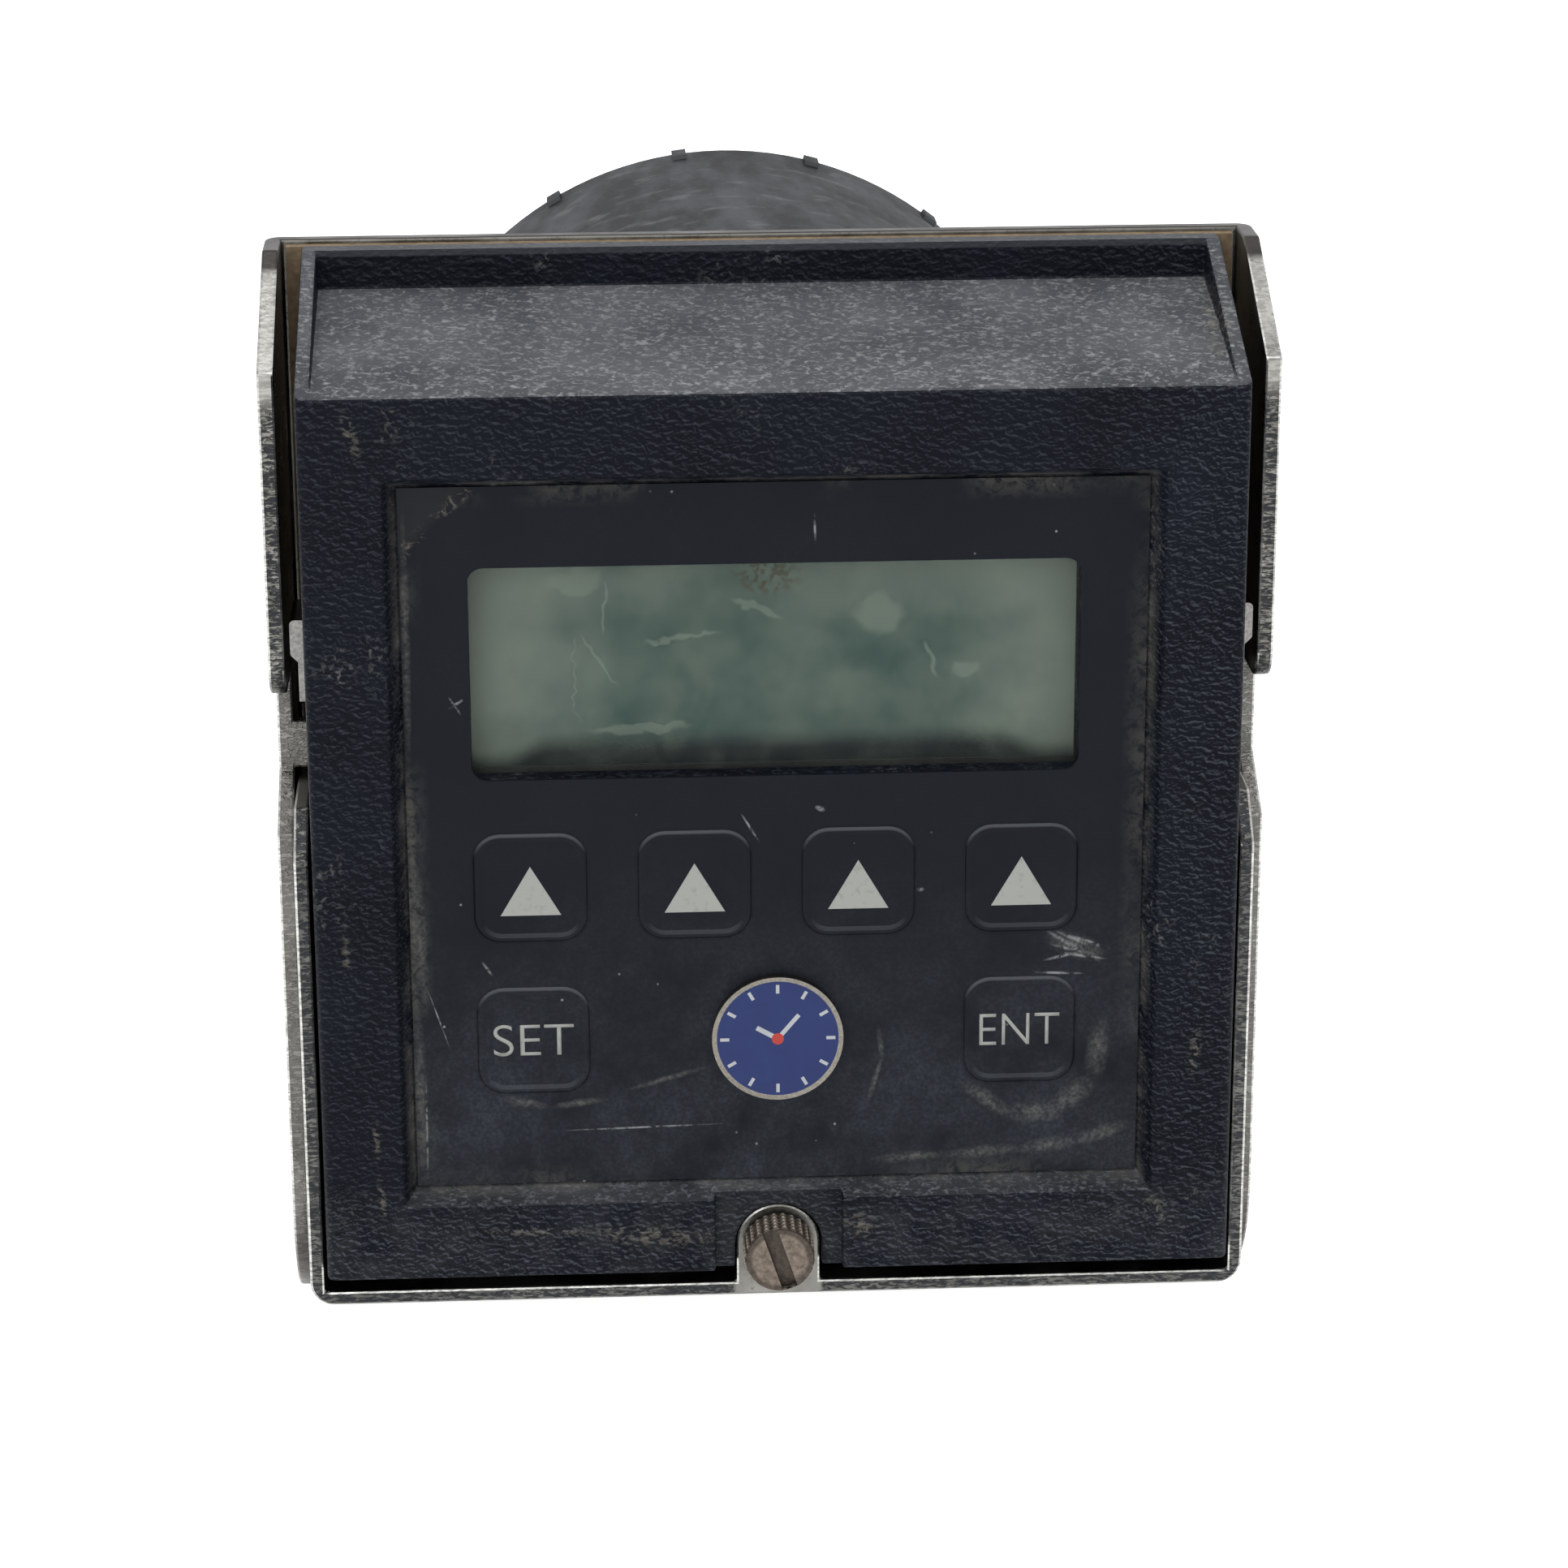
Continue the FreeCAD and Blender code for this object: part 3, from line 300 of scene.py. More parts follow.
    # A floor above zero darkens every torn edge at least that much: painted shade.
    tear_level = add(tree, "MapRange", {
        "Value": tears, "From Min": 0.58, "From Max": 0.46, "To Min": painted_shade_floor, "To Max": 0.92})
    torn = add(tree, "Math", {0: tear_level, 1: zone}, operation="MULTIPLY")
    worn = add(tree, "Mix", {"Factor": torn, 6: with_painted_light, 7: "#1f2227"})
    rough = add(tree, "MapRange", {
        "Value": clouds, "From Min": 0.3, "From Max": 0.7, "To Min": 0.22, "To Max": 0.42})
    bump = add(tree, "Bump", {"Strength": 0.5, "Distance": 0.05 * MM, "Height": grit})
    tear_bump = add(tree, "Bump", {
        "Strength": 0.6, "Distance": 0.12 * MM, "Height": torn, "Normal": bump}, invert=True)
    feed(shader, {"Base Color": worn, "Roughness": rough, "Normal": tear_bump, "Metallic": 1.0})
    return finish


frame_zinc = zinc_finish("zinc_plated_frame_steel", torn_from=7.5, torn_to=33.0, painted_shade_floor=0.0)
frame_piece = new_piece("mounting_frame_sheet", softened("mounting_frame", EDGE_MM), frame_zinc,
                        "housing")
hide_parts("mounting_frame")

# Module frame: a second folded sheet that carries the bezel, with two side arms, a foot flange and a tab.
# Plated like the mounting frame; its cut edges are torn along their whole length, and painted dark
# throughout as shade beside and under the bezel.
module_zinc = zinc_finish("zinc_plated_module_steel", torn_from=-46.0, torn_to=8.0, painted_shade_floor=0.45)
chassis_piece = new_piece("module_frame_sheet", softened("module_frame", EDGE_MM), module_zinc,
                          "module")
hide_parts("module_frame")

# Gasket: a sheet of tan fibre between the frame's plate and the module, its cut edge frayed and dirty.
# Vulcanised fibre: matt, warm brown, streaked along the sheet.
FIBRE_STREAK_MM = 0.8
fibre, tree, shader, place = new_finish("vulcanised_fibre_sheet")
streaks = add(tree, "TexNoise", {"Vector": place, "Scale": 1 / FIBRE_STREAK_MM, "Detail": 4.0})
fibre_colour = add(tree, "Mix", {"Factor": streaks, 6: "#4a3d31", 7: "#a38f73"})
fibre_bump = add(tree, "Bump", {"Strength": 0.6, "Distance": 0.1 * MM, "Height": streaks})
feed(shader, {
    "Base Color": fibre_colour, "Normal": fibre_bump, "Roughness": 0.85, "Specular IOR Level": 0.2})
dress(fibre, "frame_gasket")

# Housing and bases: compression-moulded phenolic behind the panel, dark grey under a film of dust.
# Phenolic moulding: dull, clouded along the barrel, with a few pale rubs across it; the ribs' front faces
# get painted light and the barrel a painted highlight towards its sides.
PHENOLIC_CLOUD_MM = 5.0
PHENOLIC_SPECK_MM = 0.5
RUB_LONG_MM = 4.0
RUB_WIDE_MM = 3.0
SIDE_HIGHLIGHT_FROM_MM = 20.0
BARREL_SIDE_MM = 33.0
phenolic, tree, shader, place = new_finish("dusty_phenolic_moulding")
long_place = add(tree, "Mapping", {"Vector": place, "Scale": (1.0, 0.35, 0.2)})
clouds = add(tree, "TexNoise", {
    "Vector": long_place, "Scale": 1 / PHENOLIC_CLOUD_MM, "Detail": 5.0, "Roughness": 0.65})
dust_level = add(tree, "MapRange", {"Value": clouds, "From Min": 0.40, "From Max": 0.64})
phenolic_colour = add(tree, "Mix", {"Factor": dust_level, 6: "#0d1014", 7: "#3d4045"})
rub_place = add(tree, "Mapping", {
    "Vector": place, "Rotation": (0.0, 0.0, 0.3), "Scale": (1 / RUB_LONG_MM, 1 / RUB_WIDE_MM, 0.0)})
rubs = add(tree, "TexNoise", {"Vector": rub_place, "Scale": 1.0, "Detail": 3.0})
rub_and_highlight_level = add(tree, "MapRange", {"Value": rubs, "From Min": 0.58, "From Max": 0.76, "To Max": 0.4})
surface = add(tree, "NewGeometry")
facing = add(tree, "SeparateXYZ", {0: surface.outputs["True Normal"]})
# Painted light: the ribs' front faces and the barrel towards its sides are mixed towards the pale rub
# colour.
painted_rib_end_light = add(tree, "MapRange", {
    "Value": facing.outputs["Y"], "From Min": -0.7, "From Max": -0.9, "To Max": 0.55})
rub_and_highlight_level = add(tree, "Math", {0: rub_and_highlight_level, 1: painted_rib_end_light}, operation="MAXIMUM")
x, y, z = add(tree, "SeparateXYZ", {0: place}).outputs
off_middle = add(tree, "Math", {0: x}, operation="ABSOLUTE")
to_side = add(tree, "MapRange", {
    "Value": off_middle, "From Min": SIDE_HIGHLIGHT_FROM_MM, "From Max": BARREL_SIDE_MM, "To Max": 0.45})
rub_and_highlight_level = add(tree, "Math", {0: rub_and_highlight_level, 1: to_side}, operation="MAXIMUM")
rubbed = add(tree, "Mix", {"Factor": rub_and_highlight_level, 6: phenolic_colour, 7: "#7b7d7f"})
specks = add(tree, "TexNoise", {"Vector": place, "Scale": 1 / PHENOLIC_SPECK_MM, "Detail": 2.0})
phenolic_bump = add(tree, "Bump", {"Strength": 0.4, "Distance": 0.05 * MM, "Height": specks})
feed(shader, {"Base Color": rubbed, "Normal": phenolic_bump, "Roughness": 0.55, "Specular IOR Level": 0.15})
dress(phenolic, "housing_cup", "terminal_base", "plug_base")

# Screws and posts: turned steel with a dull plating that has gone brown with grime.
# Grimy plated steel: low shine, brown in the low places and paler where it is rubbed.
GRIME_MM = 0.9
grimy, tree, shader, place = new_finish("grimy_plated_steel")
grime = add(tree, "TexNoise", {"Vector": place, "Scale": 1 / GRIME_MM, "Detail": 4.0, "Roughness": 0.6})
grime_level = add(tree, "MapRange", {"Value": grime, "From Min": 0.34, "From Max": 0.66})
grime_colour = add(tree, "Mix", {"Factor": grime_level, 6: "#4f443a", 7: "#8d7f71"})
grime_bump = add(tree, "Bump", {"Strength": 0.5, "Distance": 0.08 * MM, "Height": grime})
feed(shader, {"Base Color": grime_colour, "Normal": grime_bump, "Metallic": 0.35, "Roughness": 0.55})
dress(grimy, "screw_retainer", "housing_screws", "terminal_screws", "chassis_posts", "chassis_screws")

# Side springs: short strips of bright plated spring steel on the bezel's sides.
# Plated spring strip: bright and smooth, with fine marks along its length.
STRIP_MARK_MM = 0.25


def mottled_finish(name, patch_mm, detail, dark, pale, roughness, metallic=0.0, shine=0.5):
    """A material that wanders between two colours, over patches of a real size."""
    finish, tree, shader, place = new_finish(name)
    patches = add(tree, "TexNoise", {"Vector": place, "Scale": 1 / patch_mm, "Detail": detail})
    colour = add(tree, "Mix", {"Factor": patches, 6: dark, 7: pale})
    feed(shader, {
        "Base Color": colour, "Roughness": roughness, "Metallic": metallic, "Specular IOR Level": shine})
    return finish


strip = mottled_finish("bright_plated_spring_strip", STRIP_MARK_MM, 2.0, "#4a4a4a", "#8f8e8b", 0.22,
                       metallic=1.0)
dress(strip, "side_spring_left", "side_spring_right")

# Terminals and plug: parts stamped from brass strip.
# Tarnished brass: a warm metal, browner in soft patches.
TARNISH_MM = 2.0
brass = mottled_finish("tarnished_brass_strip", TARNISH_MM, 3.0, "#8d7440", "#d9c489", 0.35, metallic=1.0)
dress(brass, "terminal_plates", "receptacles", "plug_blades")

# Bezel: the moulded front of the module, one piece of black ABS with a leather grain from its tool.
# Its edges come rounded out of the mould.
BEZEL_EDGE_MM = 0.22
GRAIN_MM = 0.4
GRAIN_STEP_MM = 0.16
ABS_CLOUD_MM = 9.0
SCUFF_MM = 0.5
PATCH_MM = 8.0
STREAK_MM = 5.0
DIRT_MM = 3.0
RECESS_HALF_WIDTH_MM = 31.2
RECESS_TOP_MM = 27.6
RECESS_MOUTH_MM = -23.7
RECESS_FLOOR_MM = -22.3
SCOOP_FRONT_MM = -22.0
SCOOP_BACK_MM = -17.0
RIM_HIGHLIGHT_MM = 0.6
FOOT_FROM_MM = -33.0
FOOT_TO_MM = -37.0
RIGHT_FROM_MM = 26.0
RIGHT_TO_MM = 34.0
DEEP_MM = 1000.0
SCRAPES_MM = (((-16.8, -37.3), (-4.4, -38.5), 2.4), ((-25.5, -37.2), (-14.0, -37.4), 0.9),
              ((5.0, -36.6), (8.8, -38.4), 2.8), ((-33.2, -26.5), (-32.9, -31.0), 0.7),
              ((-33.8, 33.0), (-32.6, 28.4), 1.4), ((-32.9, -31.6), (-32.6, -36.4), 0.8),
              ((-34.8, -10.4), (-35.2, -14.6), 0.9), ((35.0, 33.6), (36.7, 38.6), 2.0),
              ((30.0, -35.6), (32.4, -36.4), 1.8), ((34.6, -20.0), (34.0, -25.0), 1.2))


def stroke(tree, place, start, end, width, soft):
    """A mask for a long or round mark on a face that looks forward, between two (x, z) points."""
    (x, z), (to_x, to_z) = start, end
    half = math.hypot(to_x - x, to_z - z) / 2
    along = add(tree, "Mapping", {
        "Vector": place, "Location": ((x + to_x) / 2, 0.0, (z + to_z) / 2),
        "Rotation": (0.0, math.atan2(z - to_z, to_x - x), 0.0),
        "Scale": (half, DEEP_MM, width / 2)}, vector_type="TEXTURE")
    reach = add(tree, "VectorMath", {0: along}, operation="LENGTH")
    return add(tree, "MapRange", {"Value": reach, "From Min": 1.0, "From Max": 1.0 - soft})


def strokes(tree, place, marks, soft):
    """The strongest of several marks at each place."""
    whole = stroke(tree, place, *marks[0], soft)
    for mark in marks[1:]:
        whole = add(tree, "Math", {0: whole, 1: stroke(tree, place, *mark, soft)}, operation="MAXIMUM")
    return whole


abs_black, tree, shader, place = new_finish("leather_grained_black_abs")
x, y, z = add(tree, "SeparateXYZ", {0: place}).outputs
surface = add(tree, "NewGeometry")
facing = add(tree, "SeparateXYZ", {0: surface.outputs["True Normal"]})
# Low wandering ridges get a painted highlight on their upper sides, and the faces that look up are greyed
# partly by dust and partly by painted light.
grain_place = add(tree, "Mapping", {
    "Vector": place, "Rotation": (0.0, -0.3, 0.0), "Scale": (0.6, 0.8, 1.0)})
ridges = add(tree, "TexNoise", {
    "Vector": grain_place, "Scale": 1 / GRAIN_MM, "Detail": 3.0, "Roughness": 0.55, "Distortion": 0.5})
above_place = add(tree, "Mapping", {"Vector": grain_place, "Location": (0.0, 0.0, GRAIN_STEP_MM)})
ridges_above = add(tree, "TexNoise", {
    "Vector": above_place, "Scale": 1 / GRAIN_MM, "Detail": 3.0, "Roughness": 0.55, "Distortion": 0.5})
upper_side = add(tree, "Math", {0: ridges, 1: ridges_above}, operation="SUBTRACT")
ridge_highlight_level = add(tree, "MapRange", {"Value": upper_side, "From Min": 0.0, "From Max": 0.22})
looks_up = add(tree, "MapRange", {"Value": facing.outputs["Z"], "From Min": 0.3, "From Max": 0.9})
off_middle = add(tree, "Math", {0: x}, operation="ABSOLUTE")
off_side = add(tree, "MapRange", {
    "Value": off_middle, "From Min": RECESS_HALF_WIDTH_MM + 0.2, "From Max": RECESS_HALF_WIDTH_MM})
under_top = add(tree, "MapRange", {"Value": z, "From Min": RECESS_TOP_MM + 0.2, "From Max": RECESS_TOP_MM})
in_recess = add(tree, "Math", {0: off_side, 1: under_top}, operation="MULTIPLY")
in_window = add(tree, "MapRange", {
    "Value": y, "From Min": RECESS_FLOOR_MM, "From Max": RECESS_FLOOR_MM + 0.3})
in_window = add(tree, "Math", {0: in_window, 1: in_recess}, operation="MULTIPLY")
outside = add(tree, "Math", {0: 1.0, 1: in_window}, operation="SUBTRACT")
looks_up = add(tree, "Math", {0: looks_up, 1: outside}, operation="MULTIPLY")
# Inside the sunk face, the faces that look up get less of this grey.
less_in_recess = add(tree, "MapRange", {"Value": in_recess, "To Min": 1.0, "To Max": 0.4})
looks_up = add(tree, "Math", {0: looks_up, 1: less_in_recess}, operation="MULTIPLY")
clouds = add(tree, "TexNoise", {"Vector": place, "Scale": 1 / ABS_CLOUD_MM, "Detail": 5.0})
cloud_level = add(tree, "MapRange", {"Value": clouds, "From Min": 0.3, "From Max": 0.75})
front_colour = add(tree, "Mix", {"Factor": cloud_level, 6: "#0a0d14", 7: "#131720"})
dust_and_light_colour = add(tree, "Mix", {"Factor": cloud_level, 6: "#414448", 7: "#5f6165"})
dusty_and_lit = add(tree, "Mix", {"Factor": looks_up, 6: front_colour, 7: dust_and_light_colour})
# Painted highlight on the ridges: stronger on faces that look up, towards the foot and to the right, and
# weaker far into the scoop, which lies in shade.
ridge_highlight_part = add(tree, "MapRange", {"Value": looks_up, "To Min": 0.15, "To Max": 0.6})
stronger_low = add(tree, "MapRange", {
    "Value": z, "From Min": FOOT_FROM_MM, "From Max": FOOT_TO_MM, "To Max": 0.18})
lit_right = add(tree, "MapRange", {
    "Value": x, "From Min": RIGHT_FROM_MM, "From Max": RIGHT_TO_MM, "To Max": 0.1})
stronger_ridges = add(tree, "Math", {0: stronger_low, 1: lit_right}, operation="MAXIMUM")
ridge_highlight_part = add(tree, "Math", {0: ridge_highlight_part, 1: stronger_ridges}, operation="ADD")
ridge_highlight_part = add(tree, "Math", {0: ridge_highlight_level, 1: ridge_highlight_part}, operation="MULTIPLY")
far_in = add(tree, "MapRange", {
    "Value": y, "From Min": SCOOP_FRONT_MM, "From Max": SCOOP_BACK_MM, "To Min": 1.0, "To Max": 0.75})
ridge_highlight_part = add(tree, "Math", {0: ridge_highlight_part, 1: far_in}, operation="MULTIPLY")
ridge_highlight_colour = add(tree, "Mix", {"Factor": looks_up, 6: "#7d8491", 7: "#a9aaab"})
grained = add(tree, "Mix", {"Factor": ridge_highlight_part, 6: dusty_and_lit, 7: ridge_highlight_colour})
# Pale scuffs that catch the ridges, in patches.
scuffs = add(tree, "TexNoise", {"Vector": place, "Scale": 1 / SCUFF_MM, "Detail": 4.0, "Distortion": 0.5})
scuff_level = add(tree, "MapRange", {"Value": scuffs, "From Min": 0.56, "From Max": 0.68})
patches = add(tree, "TexNoise", {"Vector": place, "Scale": 1 / PATCH_MM, "Detail": 3.0})
patch_level = add(tree, "MapRange", {"Value": patches, "From Min": 0.58, "From Max": 0.72, "To Max": 0.45})
scuff_part = add(tree, "Math", {0: scuff_level, 1: patch_level}, operation="MULTIPLY")
scuffed = add(tree, "Mix", {"Factor": scuff_part, 6: grained, 7: "#8d8d89"})
# The top rim gets a painted grey highlight, standing in for a rounder edge catching the light.
bezel_top_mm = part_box("bezel")[1].z / MM
rim_highlight_part = add(tree, "MapRange", {
    "Value": z, "From Min": bezel_top_mm - RIM_HIGHLIGHT_MM, "From Max": bezel_top_mm - RIM_HIGHLIGHT_MM + 0.15,
    "To Max": 0.6})
scuffed = add(tree, "Mix", {"Factor": rim_highlight_part, 6: scuffed, 7: "#4b4e53"})
# Warm grey dirt deep on the walls of the sunk face, in streaks, and cooler dirt near the foot.
deep = add(tree, "MapRange", {"Value": y, "From Min": RECESS_MOUTH_MM, "From Max": RECESS_FLOOR_MM})
streaks = add(tree, "TexNoise", {"Vector": place, "Scale": 1 / STREAK_MM, "Detail": 6.0, "Roughness": 0.7})
streak_level = add(tree, "MapRange", {"Value": streaks, "From Min": 0.42, "From Max": 0.68, "To Max": 0.6})
streak_part = add(tree, "Math", {0: deep, 1: in_recess}, operation="MULTIPLY")
streak_part = add(tree, "Math", {0: streak_part, 1: outside}, operation="MULTIPLY")
streak_part = add(tree, "Math", {0: streak_part, 1: streak_level}, operation="MULTIPLY")
streaked = add(tree, "Mix", {"Factor": streak_part, 6: scuffed, 7: "#777570"})
low_down = add(tree, "MapRange", {"Value": z, "From Min": FOOT_FROM_MM, "From Max": FOOT_TO_MM})
dirt = add(tree, "TexNoise", {"Vector": place, "Scale": 1 / DIRT_MM, "Detail": 6.0, "Roughness": 0.7})
dirt_level = add(tree, "MapRange", {"Value": dirt, "From Min": 0.40, "From Max": 0.75, "To Max": 0.16})
dirt_part = add(tree, "Math", {0: low_down, 1: dirt_level}, operation="MULTIPLY")
dirty = add(tree, "Mix", {"Factor": dirt_part, 6: streaked, 7: "#6d6e70"})
# Scrapes have left tan dirt on the tops of the ridges.
ridge_tops = add(tree, "MapRange", {"Value": ridges, "From Min": 0.46, "From Max": 0.62, "To Max": 0.45})
scrape_part = add(tree, "Math", {
    0: strokes(tree, place, SCRAPES_MM, 0.9), 1: ridge_tops}, operation="MULTIPLY")
abs_colour = add(tree, "Mix", {"Factor": scrape_part, 6: dirty, 7: "#8f897d"})
grain_bump = add(tree, "Bump", {"Strength": 1.0, "Distance": 0.15 * MM, "Height": ridges})
feed(shader, {"Base Color": abs_colour, "Normal": grain_bump, "Roughness": 0.5, "Specular IOR Level": 0.06})
bezel = new_piece("bezel_moulding", softened("bezel", BEZEL_EDGE_MM), abs_black, "module")
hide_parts("bezel")

# Display: a glass cell behind a clear pane, blank, with a worn green-grey reflector behind it.
# Blank LCD: green-grey, paler to the sides, with a painted soft shadow along its lower edge, bubbles and a
# brown stain.
LCD_MOTTLE_MM = 8.0
LCD_TOP_MM = 19.3
LCD_SHADOW_MM = 3.5
LCD_SHADOW_SOFT_MM = 1.1
LCD_SHADOW_CORNER_MM = 1.5
LCD_HALF_WIDTH_MM = 24.5
BUBBLES_MM = (((6.2, 13.9), (10.8, 13.7), 3.6), ((14.3, 8.8), (16.9, 9.5), 1.5),
              ((-18.4, 16.9), (-13.4, 17.0), 2.4), ((-3.4, 15.4), (0.9, 13.2), 0.9),
              ((-15.9, 12.6), (-12.2, 8.0), 0.3), ((-15.4, 4.4), (-6.2, 4.6), 1.1),
              ((-10.8, 11.8), (-3.8, 12.6), 0.5), ((12.2, 12.0), (13.4, 8.2), 0.6),
              ((-16.1, 12.4), (-16.0, 4.6), 0.14), ((-13.3, 17.2), (-13.5, 12.6), 0.4))
BUBBLE_RAGGED_MM = 1.6
BUBBLE_SHIFT_MM = 2.2
STAIN_GRIT_MM = 0.5
STAIN_MM = ((-4.0, 17.6), (3.0, 16.8), 4.4)
lcd, tree, shader, place = new_finish("blank_liquid_crystal_cell")
x, y, z = add(tree, "SeparateXYZ", {0: place}).outputs
mottle = add(tree, "TexNoise", {
    "Vector": place, "Scale": 1 / LCD_MOTTLE_MM, "Detail": 5.0, "Roughness": 0.6})
off_middle = add(tree, "Math", {0: x}, operation="ABSOLUTE")
to_side = add(tree, "MapRange", {
    "Value": off_middle, "From Min": LCD_HALF_WIDTH_MM * 0.5, "From Max": LCD_HALF_WIDTH_MM,
    "To Min": -0.18, "To Max": 0.45})
to_top = add(tree, "MapRange", {
    "Value": z, "From Min": LCD_TOP_MM - 6.0, "From Max": LCD_TOP_MM, "To Max": 0.4})
mottle_sum = add(tree, "Math", {0: mottle, 1: to_side}, operation="ADD")
mottle_sum = add(tree, "Math", {0: mottle_sum, 1: to_top}, operation="ADD")
mottle_level = add(tree, "MapRange", {"Value": mottle_sum, "From Min": 0.20, "From Max": 0.90})
lcd_colour = add(tree, "Mix", {"Factor": mottle_level, 6: "#3b504d", 7: "#78837a"})
ragged = add(tree, "TexNoise", {"Vector": place, "Scale": 1 / BUBBLE_RAGGED_MM, "Detail": 4.0})
shift = add(tree, "Mapping", {
    "Vector": ragged.outputs["Color"], "Location": (-BUBBLE_SHIFT_MM / 2,) * 3,
    "Scale": (BUBBLE_SHIFT_MM,) * 3})
warped = add(tree, "VectorMath", {0: place, 1: shift}, operation="ADD")
bubble_part = add(tree, "Math", {0: strokes(tree, warped, BUBBLES_MM, 0.3), 1: 0.38}, operation="MULTIPLY")
bubbled = add(tree, "Mix", {"Factor": bubble_part, 6: lcd_colour, 7: "#8b988b"})
stain_grit = add(tree, "TexNoise", {"Vector": place, "Scale": 1 / STAIN_GRIT_MM, "Detail": 4.0})
stain_level = add(tree, "MapRange", {
    "Value": stain_grit, "From Min": 0.47, "From Max": 0.58, "To Max": 0.85})
stain_part = add(tree, "Math", {
    0: stroke(tree, place, *STAIN_MM, 0.6), 1: stain_level}, operation="MULTIPLY")
stained = add(tree, "Mix", {"Factor": stain_part, 6: bubbled, 7: "#4a4434"})
# A painted shadow darkens the cell along its lower edge, and stops lower down towards the corners.
corner = add(tree, "MapRange", {
    "Value": off_middle, "From Min": LCD_HALF_WIDTH_MM - 6.5, "From Max": LCD_HALF_WIDTH_MM - 2.5,
    "To Max": LCD_SHADOW_CORNER_MM}, interpolation_type="SMOOTHSTEP")
shadow_height = add(tree, "Math", {0: z, 1: corner}, operation="ADD")
margin = add(tree, "MapRange", {
    "Value": shadow_height, "From Min": LCD_SHADOW_MM - LCD_SHADOW_SOFT_MM,
    "From Max": LCD_SHADOW_MM + LCD_SHADOW_SOFT_MM}, interpolation_type="SMOOTHSTEP")
lcd_whole = add(tree, "Mix", {"Factor": margin, 6: "#1f2229", 7: stained})
feed(shader, {"Base Color": lcd_whole, "Roughness": 0.4, "Specular IOR Level": 0.1})
dress(lcd, "lcd_glass")

# Clear acrylic pane over the cell, smeared: mostly see-through, with a soft haze.
HAZE_MM = 4.0
pane, tree, shader, place = new_finish("smeared_clear_acrylic")
haze = add(tree, "TexNoise", {"Vector": place, "Scale": 1 / HAZE_MM, "Detail": 4.0, "Distortion": 0.6})
haze_level = add(tree, "MapRange", {
    "Value": haze, "From Min": 0.45, "From Max": 0.75, "To Min": 0.03, "To Max": 0.12})
feed(shader, {"Alpha": haze_level, "Base Color": "#8fa08c", "Roughness": 0.2, "IOR": 1.49})
dress(pane, "display_window")

# Film: a polyester sheet printed dark from behind, stuck in the sunk face, open for display and keys.
# Matt polyester film: smooth and blue-black, with specks, scratches and dirt at its edges and one corner.
FILM_CLOUD_MM = 12.0
SPECK_MM = 1.6
EDGE_DIRT_MM = 1.9
CRUST_MM = 0.9
FILM_HALF_WIDTH_MM = 29.8
FILM_TOP_MM = 26.0
FILM_FOOT_MM = -33.7
SMUDGE_MM = 7.0
FILM_DUST_MM = 0.3
CORNER_MM = 6.0
DUSTY_FROM_MM = -6.0
DUSTY_TO_MM = -28.0
SCRATCHES_MM = (((-18.2, -29.1), (-4.2, -28.8), 0.22), ((22.0, -12.3), (26.6, -15.2), 0.5),
                ((23.4, -12.7), (27.5, -14.1), 0.45), ((21.8, -15.0), (25.2, -14.2), 0.35),
                ((-2.9, -1.6), (-1.3, -4.3), 0.25), ((-26.4, 7.5), (-24.8, 8.6), 0.3),
                ((-26.2, 8.7), (-25.2, 7.1), 0.25),
                ((3.1, 23.4), (3.2, 20.8), 0.25), ((11.4, -8.6), (12.1, -8.5), 0.4),
                ((-24.1, -14.0), (-23.2, -15.3), 0.3),
                ((-29.0, -33.5), (-28.9, -24.0), 0.22), ((3.1, -1.2), (4.0, -1.6), 0.5),
                ((22.8, -12.4), (25.8, -13.8), 0.4), ((23.2, -14.3), (27.3, -15.0), 0.35),
                ((22.4, -13.6), (26.4, -14.6), 0.4), ((21.0, -16.0), (25.4, -16.2), 0.3),
                ((-28.6, -16.2), (-26.8, -21.8), 0.16))
SMEARS_MM = (((-23.0, -26.0), (-18.6, -27.0), 0.9), ((-19.0, -27.0), (-13.8, -26.3), 0.8),
             ((-5.4, -23.6), (-12.8, -25.7), 0.6), ((15.2, -25.6), (19.6, -28.8), 1.6),
             ((18.6, -28.4), (24.2, -28.4), 2.2), ((22.6, -28.4), (26.6, -25.4), 2.4),
             ((26.2, -26.2), (26.8, -19.8), 2.2), ((7.6, -32.4), (14.8, -31.9), 1.1),
             ((13.6, -32.1), (20.6, -31.6), 1.3), ((19.4, -31.8), (25.6, -31.0), 1.5),
             ((24.4, -31.3), (29.6, -29.5), 1.6),
             ((21.6, -12.6), (27.4, -14.8), 2.4), ((8.3, -20.2), (8.7, -23.4), 0.6),
             ((8.7, -23.0), (7.4, -27.4), 0.6), ((-29.2, -5.0), (-28.8, -19.0), 1.2),
             ((-29.4, 25.0), (-29.5, 2.0), 0.8), ((-29.5, 4.0), (-29.5, -20.0), 0.9),
             ((-29.5, -17.0), (-29.2, -33.6), 1.3))


